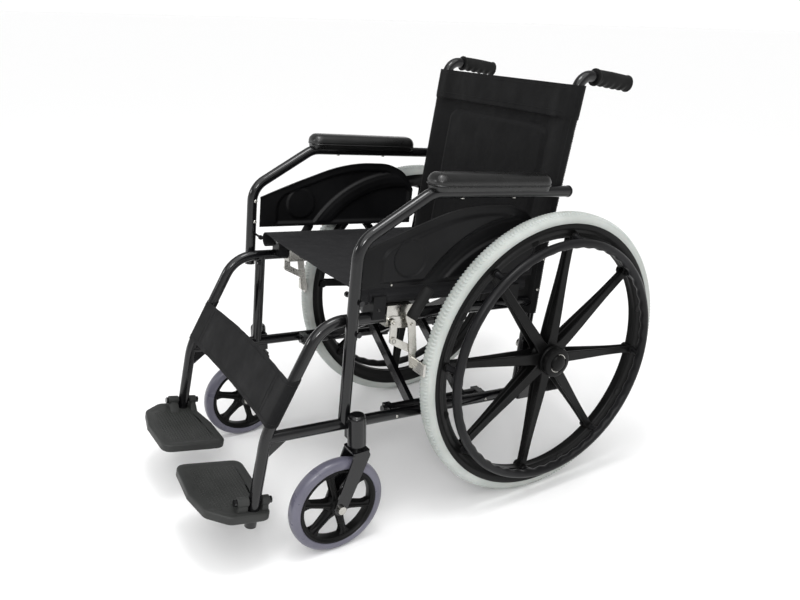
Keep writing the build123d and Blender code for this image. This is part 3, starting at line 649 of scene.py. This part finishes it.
def caster_wheel():
    """Moulded caster wheel: rim, hub and spokes with a ridge on each face."""
    half = [(78.4, 6), (78.6, 12.2), (77.6, 13.4), (75, 13.6), (73.2, 12.6), (71.8, 10.2), (69.6, 9.2),
            (68.6, 7), (68.3, 2.5)]
    rim = half + [(r, -h) for r, h in half[::-1]]
    shape = Shape().turn(rim, CASTER_CENTRE, steps=128, closed=True)
    hub = [(4.2, -17), (13.5, -17), (15.6, -16), (16.4, -13), (17.4, -8), (17.4, 8), (16.4, 13), (15.6, 16),
           (13.5, 17), (4.2, 17)]
    shape.turn(hub, CASTER_CENTRE, steps=40)
    ridge_radii = [2.2, 1.9, 1.6, 1.6]
    for i in range(CASTER_SPOKES):
        angle = 360 / CASTER_SPOKES * i + CASTER_PHASE
        beam(shape, caster_point, 13, 71, caster_spoke_width, caster_spoke_depth, angle, 14)
        ridge = [caster_point(r, angle, 10.6 - 2.4 * smooth(r, 16, 66)) for r in (15, 30, 50, 70)]
        shape.tube(ridge, ridge_radii, steps=10)
        inner = [v - Vector((2 * (v.x - CASTER_CENTRE.x), 0, 0)) for v in ridge]
        shape.tube(inner, ridge_radii, steps=10)
    return shape


# ---- side guards ----

GUARD_BASE = 267.0
GUARD_FACE = 231.7
GUARD_TOP = ((-446, 334), (-404, 351), (-332, 378), (-258, 402), (-170, 412), (-110, 405), (-72, 382),
             (-50, 350))
GUARD_THICK = 2.6
ARCH_CENTRE = (-90, 120)
ARCH_GROOVE = (241, 266)
ARCH_PILLOWS = (239, 268)
DISH_CENTRE = (-347, 318)
DISH_R = 36


def guard_top(u):
    """Height of the guard's top edge, a smooth curve through its outline points."""
    us = [p[0] for p in GUARD_TOP]
    ws = [p[1] for p in GUARD_TOP]
    i = min(max(int(np.searchsorted(us, u)) - 1, 0), len(us) - 2)
    slope = np.gradient(ws, us)
    h = us[i + 1] - us[i]
    t = (u - us[i]) / h
    return ((2 * t ** 3 - 3 * t ** 2 + 1) * ws[i] + (t ** 3 - 2 * t ** 2 + t) * h * slope[i]
            + (3 * t ** 2 - 2 * t ** 3) * ws[i + 1] + (t ** 3 - t ** 2) * h * slope[i + 1])


def guard_relief(u, w, top):
    """How far the pressed pattern stands out: a pillow, a round dish and a wheel-arch groove."""
    reach = hypot(u - ARCH_CENTRE[0], w - ARCH_CENTRE[1])
    fade = 7.0
    frame_in = min(u + 408, w - (GUARD_BASE + 5), (top - 15 - w) * 0.95, -56 - u)
    if u < -380 and top - w < 42:
        frame_in = min(frame_in, 26 - hypot(min(0, u + 382), max(0, w - (top - 41))))
    outside = min(frame_in, reach - ARCH_PILLOWS[1])
    inside = min(frame_in, ARCH_PILLOWS[0] - reach)
    relief = 5.2 * (smooth(outside, 0, fade) + smooth(inside, 0, fade))
    relief -= 1.6 * smooth(min(frame_in, reach - ARCH_GROOVE[0], ARCH_GROOVE[1] - reach), 0, 6)
    return relief - 3.4 * smooth(DISH_R - hypot(u - DISH_CENTRE[0], w - DISH_CENTRE[1]), 0, 4)


def side_guard():
    """Pressed panel between its base line and the curved top edge."""
    columns, rows = 170, 60
    left, right = GUARD_TOP[0][0], GUARD_TOP[-1][0]
    outer, inner = [], []
    for i in range(columns + 1):
        u = left + (right - left) * i / columns
        top = guard_top(u)
        line_out, line_in = [], []
        for j in range(rows + 1):
            w = GUARD_BASE + (top - GUARD_BASE) * j / rows
            relief = guard_relief(u, w, top)
            rim = 1.1 * smooth(6 - (top - w), 0, 5)
            line_out.append(side_point(GUARD_FACE - 0.4 + relief + rim, u, w))
            line_in.append(side_point(GUARD_FACE - 0.4 - GUARD_THICK + relief - rim, u, w))
        outer.append(line_out)
        inner.append(line_in)
    rings = [[*a, *b[::-1]] for a, b in zip(outer, inner)]
    return Shape().skin(rings, caps=(True, True))


# ---- small hardware ----

def screw(shape, point, direction, radius=4.2, height=2.4):
    """Round-headed screw or rivet standing on a surface, with a drive recess."""
    dome = [(radius, -0.4), (radius, 0.3)]
    dome += [(radius * cos(t), 0.3 + (height - 0.3) * sin(t)) for t in (radians(18 * k) for k in range(1, 4))]
    dome += [(radius * 0.42, height * 0.93), (radius * 0.3, height * 0.6), (0, height * 0.58)]
    return shape.turn(dome, point, direction, steps=20)


def frame_screws():
    """Rivets of the guard and of the cane, screws of the pad, and the bolts along the lower tube."""
    shape = Shape()
    for w in (278, 324):
        screw(shape, side_point(ARM_X - TUBE_R + 0.6, -456, w), (-1, 0, 0), 4.0)
    for u in (-380, -120):
        screw(shape, side_point(GUARD_FACE, u, GUARD_BASE + 3.2), (1, 0, 0), 2.2, 1.2)
    for u in (-256, -136):
        screw(shape, side_point(ARM_X, u, ARM_W - TUBE_R + 0.4), (0, -sin(TILT), -cos(TILT)), 4.2)
    for u in (-334.5, -117.5):
        screw(shape, side_point(FRAME_X + TUBE_R - 0.5, u, 0), (1, 0, 0), 3.2)
    for share in (0.08, 0.22):
        u, w = along((REAR_U, 196), HANDLE_CORNER, share)
        screw(shape, side_point(FRAME_X + 13.4, u, w), (1, 0, 0), 3.2, 1.8)
    return shape


def dark_bolts():
    """Painted bolt heads of the rail saddles and of the front post."""
    shape = Shape()
    for u in SADDLES:
        screw(shape, side_point(FRAME_X + 13, u, 224), (1, 0, 0), 3.4, 1.8)
    for w in (222, 255):
        screw(shape, Vector((FRAME_X + 13, STEM[1] - 12.0, w)) * MM, (0, -1, 0), 3.0)
    return shape


def black_plugs():
    """Plastic end plugs of the hanger and of the arm tube."""
    shape = Shape()
    low = side_point(FRAME_X, *HANGER_END)
    shape.turn([(9, -1), (10.9, -1), (10.9, 1.4), (9.6, 2.6), (0, 3.2)], low, -SHANK, steps=32)
    end = side_point(ARM_X, 1, ARM_W)
    back = (side_point(0, 1, 0) - side_point(0, 0, 0)).normalized()
    shape.turn([(9, -2), (11.6, -2), (11.6, 1), (10, 3.4), (0, 4.2)], end, back, steps=32)
    return shape


# ---- push grips, tipping tips and brake grips ----

GRIP_SHARES = (0.286, 1.01)
GRIP_MAX_R = 16.9


def push_grip():
    """Grip with finger waves underneath, a collar at each end and a rounded tip."""
    start, end = [along(HANDLE_CORNER, HANDLE_END, share) for share in GRIP_SHARES]
    first, last = side_point(FRAME_X, *start), side_point(FRAME_X, *end)
    forward = (last - first).normalized()
    up = Vector((1, 0, 0)).cross(forward) * -1
    up = up if up.z > 0 else -up
    rings = []
    rows, steps = 84, 28
    for i in range(rows + 1):
        t = i / rows
        swell = 15.2 + 0.9 * sin(pi * t)
        waves = 0.5 - 0.5 * cos(tau * 4.5 * min(max((t - 0.12) / 0.82, 0), 1))
        end_round = 1 - 0.45 * smooth(t, 0.955, 1.0) ** 2
        front_collar = 1.6 * (1 - smooth(t, 0.03, 0.055))
        collar = front_collar + 1.2 * smooth(t, 0.93, 0.95) * (1 - smooth(t, 0.97, 0.99))
        ring = []
        for j in range(steps):
            a = tau * j / steps
            under = smooth(-sin(a), 0.0, 0.9)
            radius = (swell + collar - 2.3 * under * (1 - waves) * smooth(t, 0.06, 0.14)) * end_round
            radius = min(radius, GRIP_MAX_R)
            spread = Vector((1, 0, 0)) * cos(a) + up * sin(a)
            ring.append(first + (last - first) * t + spread * (radius * MM))
        rings.append(ring)
    return Shape().skin(rings, caps=(True, True))


def tipping_tip():
    """Rubber end of the lower tube with seven ribs and a rounded nose."""
    start, end = side_point(FRAME_X, 50, 0), side_point(FRAME_X, 97, 0)
    axis = (end - start).normalized()
    profile = [(11, 0), (14, 0.4)]
    for k in range(7):
        profile += [(14.2, 3 + 5 * k), (14.2, 5.4 + 5 * k), (13.1, 6.0 + 5 * k), (13.1, 7.4 + 5 * k)]
    profile += [(14.2, 39), (14.2, 43.6), (12.6, 46.4), (9, 47.2), (0, 47.2)]
    return Shape().turn(profile, start, axis, steps=40)


BRAKE_GRIP = ((-343.0, 212.0), (-313.0, 263.0))
BRAKE_GRIP_X = 251.2


def brake_grip():
    shares = (-0.03, 0.0, 0.04, 0.2, 0.45, 0.7, 0.88, 0.98, 1.04, 1.07)
    path = [side_point(BRAKE_GRIP_X, *along(*BRAKE_GRIP, share)) for share in shares]
    radii = [8.6, 10.2, 11.0, 11.0, 10.6, 10.9, 11.2, 11.0, 9.6, 6.0]
    return Shape().tube(path, radii, steps=28, squash=0.88)


# ---- arm pads ----

PAD_START = -328.0
PAD_LENGTH = 269.0
PAD_WIDTH = 50.0


def arm_pad():
    """Skinned foam pad on a base that sits down over the tube: a foot, a seam and a crowned top."""
    end, half = PAD_START + PAD_LENGTH, PAD_WIDTH / 2
    outline = rounded([(PAD_START, -half), (end, -half), (end, half), (PAD_START, half)], 22, 9)
    layers = [(5.0, -7.0), (3.2, -6.9), (2.4, -6.0), (1.5, 0.8), (0.6, 1.6), (-0.4, 2.2), (-0.8, 3.2),
              (-0.4, 4.2), (0.5, 4.8), (0.1, 6.0)]
    layers += [(-0.4 + 17 * (1 - cos(t)), 6.0 + 17.6 * sin(t))
               for t in (radians(10 * k) for k in range(1, 9))]

    def to_world(u, across, height):
        crown = 0.6 * (1 - (across / PAD_WIDTH * 2) ** 2) * smooth(height, 12, 23)
        dip = 0.7 * sin((u - PAD_START) / PAD_LENGTH * pi * 2.2) * smooth(height, 14, 22)
        return side_point(ARM_X + across, u, ARM_W + TUBE_R + height + crown + dip)

    return Shape().slab(outline, layers, to_world)


# ---- footplates ----

PLATE = ((36, -90), (140, -96), (205, -85), (238, -48), (238, 32), (190, 27), (130, 39), (38, 42))
PLATE_TOP = -17.0
PLATE_DEPTH = 15.0
BARRELS = ((-34.0, -12.4), (12.4, 27.0))
STUD_PITCH = 7.4


def footplate():
    """Moulded plate with a studded top inside its rim, two hinge barrels and ribs underneath."""
    outline = rounded(PLATE, 23, 7)
    top, low = PLATE_TOP + 1.0, PLATE_TOP - PLATE_DEPTH + 1.0
    layers = edge_layers(low, top, 3.4, 4, 1.6)
    layers += [(11, top), (14, top - 0.9), (16.5, top - 1.3)]
    shape = Shape().slab(outline, layers, foot_point)
    floor = top - 1.3
    region = inset(outline, 20)
    for i in range(-2, 34):
        for j in range(-14, 10):
            x = 30 + STUD_PITCH * i + STUD_PITCH / 2 * (j % 2)
            v = STUD_PITCH * 0.82 * j
            near_hinge = x > 198 and -50 < v < 36
            if not contains(region, x, v) or near_hinge:
                continue
            base = [(x - 2.9, v), (x, v - 2.1), (x + 2.9, v), (x, v + 2.1)]
            tip = [(x - 1.7, v), (x, v - 1.1), (x + 1.7, v), (x, v + 1.1)]
            shape.skin([[foot_point(a, b, floor - 0.2) for a, b in base],
                        [foot_point(a, b, floor + 1.15) for a, b in tip]], caps=(False, True))
    for low_v, high_v in BARRELS:
        centre = foot_point(FRAME_X, low_v, 0)
        barrel = [(4.4, 0), (8.2, 0), (9.5, 1.2), (9.5, high_v - low_v - 1.2), (8.2, high_v - low_v),
                  (4.4, high_v - low_v)]
        shape.turn(barrel, centre, HINGE, steps=36)
        near, far = FRAME_X - 15, FRAME_X + 9.4
        web = rounded([(near, low_v + 0.6), (far, low_v + 0.6), (far, high_v - 0.6), (near, high_v - 0.6)],
                      2.5, 3)

        def web_point(x, v, h):
            return foot_point(FRAME_X + (x - FRAME_X) * (1 + 0.9 * smooth(-h, 6, 19) * (x < FRAME_X)), v, h)

        shape.slab(web, [(0, low + 1), (0, PLATE_TOP), (0.2, -12), (1.2, -5), (4.5, 0)], web_point)
    ribs = [(60, -70), (60, 25), (110, -74), (110, 24), (160, -70), (160, 18)]
    for a, b in zip(ribs[::2], ribs[1::2]):
        path = [foot_point(a[0], a[1], low + 0.3), foot_point(b[0], b[1], low + 0.3)]
        shape.tube(path, 1.6, steps=8)
    return shape


# ---- upholstery ----

def wrinkle(x, y, scale, seed):
    return noise.fractal(Vector((x / scale, y / scale, seed)), 0.6, 2.1, 3)


def cloth(name, path_at, rows, thick, material):
    """Closed sheet of cloth. path_at(t) gives a row of surface points; the sheet's back face lies
    a thickness behind them."""
    grid = [path_at(k / rows) for k in range(rows + 1)]
    front = np.array([[tuple(p) for p in row] for row in grid])
    du = np.gradient(front, axis=0)
    dv = np.gradient(front, axis=1)
    normal = np.cross(du, dv)
    normal /= np.linalg.norm(normal, axis=2, keepdims=True)
    back = front - normal * (thick * MM)
    rings = [[Vector(p) for p in [*a, *b[::-1]]] for a, b in zip(front, back)]
    shape = Shape().skin(rings, caps=(True, True))
    return make(name, shape, material, None, sharp=60), front, normal


def stitches(name, lines, length=3.2, gap=1.5, radius=0.42):
    """Rows of thread stitches on lines of (point, normal) pairs."""
    shape = Shape()
    for line in lines:
        points = [p for p, _ in line]
        normals = [n for _, n in line]
        step = 0.0
        pitch = (length + gap) * MM
        for i in range(len(points) - 1):
            run = points[i + 1] - points[i]
            size = run.length
            while step < size:
                middle = points[i] + run * (step / size) + normals[i] * (0.15 * MM)
                half = run.normalized() * (length / 2 * MM)
                lift = normals[i] * (0.35 * MM)
                path = [middle - half, middle - half * 0.5 + lift, middle + half * 0.5 + lift, middle + half]
                shape.tube(path, [radius * 0.6, radius, radius, radius * 0.6], steps=5)
                step += pitch
            step -= size
    return make(name, shape, THREAD, None)


def grid_line(front, normal, row=None, column=None):
    """Line of (point, normal) along one row or column of a sheet's grid."""
    if row is not None:
        return [(Vector(p), Vector(n)) for p, n in zip(front[row], normal[row])]
    return [(Vector(p), Vector(n)) for p, n in zip(front[:, column], normal[:, column])]


def row_length(row):
    """Length in metres along a row of points."""
    return sum((Vector(a) - Vector(b)).length for a, b in zip(row, row[1:]))


# ---- pieces that don't bend ----

dress_cad()
pair("tyre_with_nibs", rear_tyre(), TYRE, "rear_wheel_{}", ["rear_tyre_{}"])
pair("mag_wheel", rear_wheel(), WHEEL_PLASTIC, "rear_wheel_{}", ["rear_wheel_{}"], 32)
pair("hub_cap", hub_cap(), WHEEL_PLASTIC, "rear_wheel_{}")
pair("hub_clips", hub_clips(), ZINC, "rear_wheel_{}")
pair("waved_handrim", handrim(), RIM_PLASTIC, "rear_wheel_{}", ["handrim_{}"])
pair("caster_tread", caster_tyre(), CASTER_TYRE, "caster_wheel_{}", ["caster_tyre_{}"])
pair("caster_mag_wheel", caster_wheel(), WHEEL_PLASTIC, "caster_wheel_{}",
     ["caster_wheel_{}"], 32)
pair("pressed_guard", side_guard(), MOULDED, "{}_frame", ["side_guard_{}"])
pair("frame_screws", frame_screws(), ZINC, "{}_frame")
pair("dark_bolts", dark_bolts(), PAINT, "{}_frame")
pair("end_plugs", black_plugs(), MOULDED, "{}_frame")
pair("waved_push_grip", push_grip(), GRIP, "{}_frame", ["push_grip_{}"])
pair("ribbed_tip", tipping_tip(), GRIP, "{}_frame", ["tipping_tip_{}"])
pair("brake_grip", brake_grip(), GRIP, "brake_lever_{}")
for pad in pair("padded_arm_rest", arm_pad(), PAD_SKIN, "{}_frame", ["armrest_pad_{}"]):
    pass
pair("moulded_footplate", footplate(), PLATE_PLASTIC, "footplate_{}", ["footplate_{}"], 30)

# ---- seat ----

SEAT_U = (-440.0, -54.0)
SLEEVE_R = 13.4


def seat_row(u):
    """Points across the seat at u: under the right rail, over it, across and round the left one."""
    covered = min(smooth(abs(u - saddle), 17, 20) for saddle in SADDLES)
    tail = radians(-20 - 130 * covered)
    points = []
    turns = 14
    for k in range(turns):
        a = tail + (radians(90) - tail) * k / (turns - 1)
        points.append((RAIL_X + SLEEVE_R * cos(a), RAIL_W + SLEEVE_R * sin(a)))
    flat = 46
    sag_here = 3.5 + 3.0 * sin(pi * (u - SEAT_U[0]) / (SEAT_U[1] - SEAT_U[0]))
    middle = []
    for k in range(1, flat):
        x = RAIL_X * (1 - 2 * k / flat)
        sag = sag_here * (1 - (x / RAIL_X) ** 2)
        fold = 1.3 * wrinkle(x, u * 2.2, 90, 3.1) + 0.7 * wrinkle(x * 2.5, u, 60, 7.7)
        edge = smooth(RAIL_X - abs(x), 0, 30)
        middle.append((x, RAIL_W + SLEEVE_R - sag * edge + fold * edge))
    other = [(-x, w) for x, w in points[::-1]]
    return [side_point(x, u, w) for x, w in points + middle + other]


def seat():
    rows = 96

    def path_at(t):
        return seat_row(between(SEAT_U, t))

    sheet, front, normal = cloth("seat_upholstery", path_at, rows, -2.2, SEAT_CLOTH)
    lines = [grid_line(front, normal, column=c) for c in (18, 20, -19, -21)]
    lines += [grid_line(front, normal, row=r)[14:-14] for r in (4, 6, rows - 4)]
    lines = [[(p, n if n.z > 0 else -n) for p, n in line] for line in lines]
    thread = stitches("seat_stitching", lines)
    for piece in (sheet, thread):
        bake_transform(piece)
    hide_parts("seat_sling_left", "seat_sling_right")
    width = row_length(front[rows // 2])


# ---- back ----

BACK_W = (182.0, 639.0)
BAND_W = 576.0
WRAP_R = 13.8


def cane_u(w):
    """Where the cane's centre line is at height w."""
    if w < CANE_BEND[1]:
        return on_line((REAR_U, 0), CANE_BEND, w)[0]
    return on_line(CANE_BEND, HANDLE_CORNER, w)[0]


def back_surface(x, w):
    """Distance of the back's front face ahead of the canes' centre line."""
    edge = smooth(FRAME_X - abs(x), 0, 60)
    sag = -13.0 * edge * (0.75 + 0.25 * sin(pi * (w - BACK_W[0]) / 450))
    corner = 36 - hypot(max(0, abs(x) - 140), max(0, w - 524))
    panel = smooth(min(172 - abs(x), corner), 0, 12)
    pad = 9.0 * panel * (0.75 + 0.25 * cos(x / 176 * pi / 2))
    groove = -4.0 * panel * (1 - panel) * 4
    fold = edge * (1.9 * wrinkle(x * 0.8, w, 120, 1.3) + 1.0 * wrinkle(x, w * 0.5, 45, 5.2))
    return WRAP_R + sag + pad + groove + fold


def wrap_radius(w):
    """Radius of the sleeve round a cane, larger where the top band doubles it."""
    band = smooth(w, BAND_W - 2, BAND_W + 2)
    return WRAP_R + 2.4 * band + 0.3 * wrinkle(w * 2.0, 0, 26, 2.0) * (1 - band)


def back_row(w):
    """Points across the front of the back at height w, from one cane to the other."""
    band = smooth(w, BAND_W - 1, BAND_W + 1)
    columns = 84
    row = []
    for k in range(columns + 1):
        x = FRAME_X * (1 - 2 * k / columns)
        own = wrap_radius(w) - WRAP_R + back_surface(x, w) + 5.5 * band * smooth(FRAME_X - abs(x), 4, 30)
        row.append(side_point(x, cane_u(w) - own, w))
    return row


def back_sleeve(side, sign):
    """Sleeve of the back round one cane, and its lines of stitching."""
    bore = TUBE_R + 0.6

    def at(w, angle, radius):
        return side_point(sign * (FRAME_X + radius * cos(angle)), cane_u(w) + radius * sin(angle), w)

    heights = [BACK_W[0] + (BACK_W[1] - BACK_W[0]) * k / 96 for k in range(97)]
    steps = 32
    outer = [[at(w, tau * j / steps, wrap_radius(w)) for j in range(steps)] for w in heights]
    inner = [[at(w, tau * j / steps, bore) for j in range(steps)] for w in heights[::-1]]
    sleeve = make(f"back_sleeve_{side}", Shape().skin(outer + inner, along_closed=True), BACK_CLOTH,
                  f"{side}_frame", sharp=60)
    lines = []
    for angle in (radians(-38), radians(12), radians(40)):
        line = [at(w, angle, wrap_radius(w)) for w in heights[:84]]
        lines.append([(p, (p - at(w, angle, 0)).normalized()) for p, w in zip(line, heights)])
    thread = stitches(f"sleeve_stitching_{side}", lines)
    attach(thread, f"{side}_frame")
    return sleeve, thread


def back():
    rows = 126

    def path_at(t):
        return back_row(between(BACK_W, t))

    sheet, front, normal = cloth("back_upholstery", path_at, rows, 2.0, BACK_CLOTH)
    lines = [grid_line(front, normal, row=r)[2:-2] for r in (2, 4, 108, 112, rows - 2)]
    thread = stitches("back_stitching", lines)
    for piece in (sheet, thread):
        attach(piece, "left_frame")
        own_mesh(piece)
    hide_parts("back_sling_left", "back_sling_right")
    sleeves = [piece for side, sign in SIDES for piece in back_sleeve(side, sign)]
    width = row_length(front[60])


# ---- calf strap ----

STRAP_W = (24.0, 106.0)


def strap_half(side, sign):
    """Half of the calf strap, from the middle of the chair to a loop round one hanger."""
    loop_r = 12.9

    def hanger(w):
        return on_line(HANGER_ANKLE, HANGER_KNEE, w)

    def path_at(t):
        w = between(STRAP_W, t)
        u, _ = hanger(w)
        points = []
        flat = 40
        for k in range(flat):
            x = FRAME_X * k / flat
            sag = 9.0 * (1 - (x / FRAME_X) ** 2) * (0.8 + 0.35 * t)
            fold = 1.2 * wrinkle(abs(x), w, 60, 4.4) * smooth(FRAME_X - x, 0, 40) * smooth(x, 0, 40)
            points.append((x, u - loop_r + sag + fold))
        for k in range(25):
            a = radians(-90 + 262 * k / 24)
            points.append((FRAME_X + loop_r * cos(a), u + loop_r * sin(a)))
        return [side_point(sign * x, own_u, w) for x, own_u in points]

    return cloth(f"calf_strap_half_{side}", path_at, 26, 2.4 * -sign, STRAP_CLOTH)


def calf_strap():
    for side, sign in SIDES:
        sheet, front, normal = strap_half(side, sign)
        lines = [grid_line(front, normal, row=r)[:-14] for r in (2, 24)]
        lines += [grid_line(front, normal, column=c)[2:-2] for c in (33, 31)]
        lines = [[(p, n if n.y < 0 else -n) for p, n in line] for line in lines]
        thread = stitches(f"strap_stitching_{side}", lines)
        for piece in (sheet, thread):
            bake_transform(piece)
        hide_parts(f"calf_strap_{side}")
        width = row_length(front[13])
        depth = (Vector(front[-1][0]) - Vector(front[0][0])).length


seat()
back()
calf_strap()


# ---- floor, light and camera ----

def floor():
    finish = Finish("pale_floor", (0.92, 0.92, 0.92), 0.9)
    finish.set("Specular IOR Level", 0.05)
    mesh = bpy.data.meshes.new("floor")
    size = 300.0
    corners = [(-size, -size, 0), (size, -size, 0), (size, size, 0), (-size, size, 0)]
    mesh.from_pydata(corners, [], [(0, 1, 2, 3)])
    mesh.materials.append(finish.material)
    add_object("floor", mesh)


def area_light(name, place, target, size, power):
    data = bpy.data.lights.new(name, "AREA")
    data.shape = "DISK"
    data.size = size
    data.energy = power
    lamp = add_object(name, data)
    lamp.location = place
    lamp.rotation_mode = "QUATERNION"
    lamp.rotation_quaternion = (Vector(target) - Vector(place)).to_track_quat("-Z", "Y")


def sky():
    """Studio light from all round: bright near the horizon and dimmer overhead."""
    world = bpy.data.worlds.new("studio")
    world.use_nodes = True
    tree = world.node_tree
    direction = tree.nodes.new("ShaderNodeTexCoord").outputs["Generated"]
    split = tree.nodes.new("ShaderNodeSeparateXYZ")
    tree.links.new(direction, split.inputs["Vector"])
    fall = tree.nodes.new("ShaderNodeMapRange")
    for socket, value in zip(("From Min", "From Max", "To Min", "To Max"), (0.04, 0.35, 1.02, 0.40)):
        fall.inputs[socket].default_value = value
    tree.links.new(split.outputs["Z"], fall.inputs["Value"])
    tree.links.new(fall.outputs["Result"], tree.nodes["Background"].inputs["Strength"])
    tree.nodes["Background"].inputs["Color"].default_value = (1, 1, 1, 1)
    bpy.context.scene.world = world


def lights():
    sun = bpy.data.lights.new("sun", "SUN")
    sun.energy = 2.25
    sun.angle = radians(80)
    lamp = add_object("sun", sun)
    lamp.rotation_mode = "QUATERNION"
    lamp.rotation_quaternion = Vector((-0.35, 0.25, -1.0)).to_track_quat("-Z", "Y")
    area_light("top", (0.4, -0.3, 2.6), (0, 0, 0.4), 0.7, 14)
    area_light("key", (2.6, -1.6, 2.2), (0, 0, 0.5), 0.6, 22)
    area_light("fill", (-1.2, -3.0, 1.8), (0, 0, 0.4), 0.6, 15)


def camera():
    """Camera at the photo's angle, turned and rolled about its own line of sight."""
    yaw, pitch, roll = radians(57.875), radians(20.711), radians(1.506)
    look = Vector((-sin(yaw) * cos(pitch), cos(yaw) * cos(pitch), -sin(pitch)))
    level = Vector((cos(yaw), sin(yaw), 0))
    above = level.cross(look)
    right = level * cos(roll) + above * sin(roll)
    up = above * cos(roll) - level * sin(roll)
    data = bpy.data.cameras.new("camera")
    data.lens = 33.55
    data.sensor_width = 36.0
    eye = add_object("camera", data)
    place = Vector((1299.33, AXLE_Y - 1006.61, 953.73)) * MM
    eye.matrix_world = Matrix((
        (right.x, up.x, -look.x, place.x),
        (right.y, up.y, -look.y, place.y),
        (right.z, up.z, -look.z, place.z),
        (0, 0, 0, 1)))
    bpy.context.scene.camera = eye
    bpy.context.scene.view_settings.view_transform = "Standard"


floor()
sky()
lights()
camera()
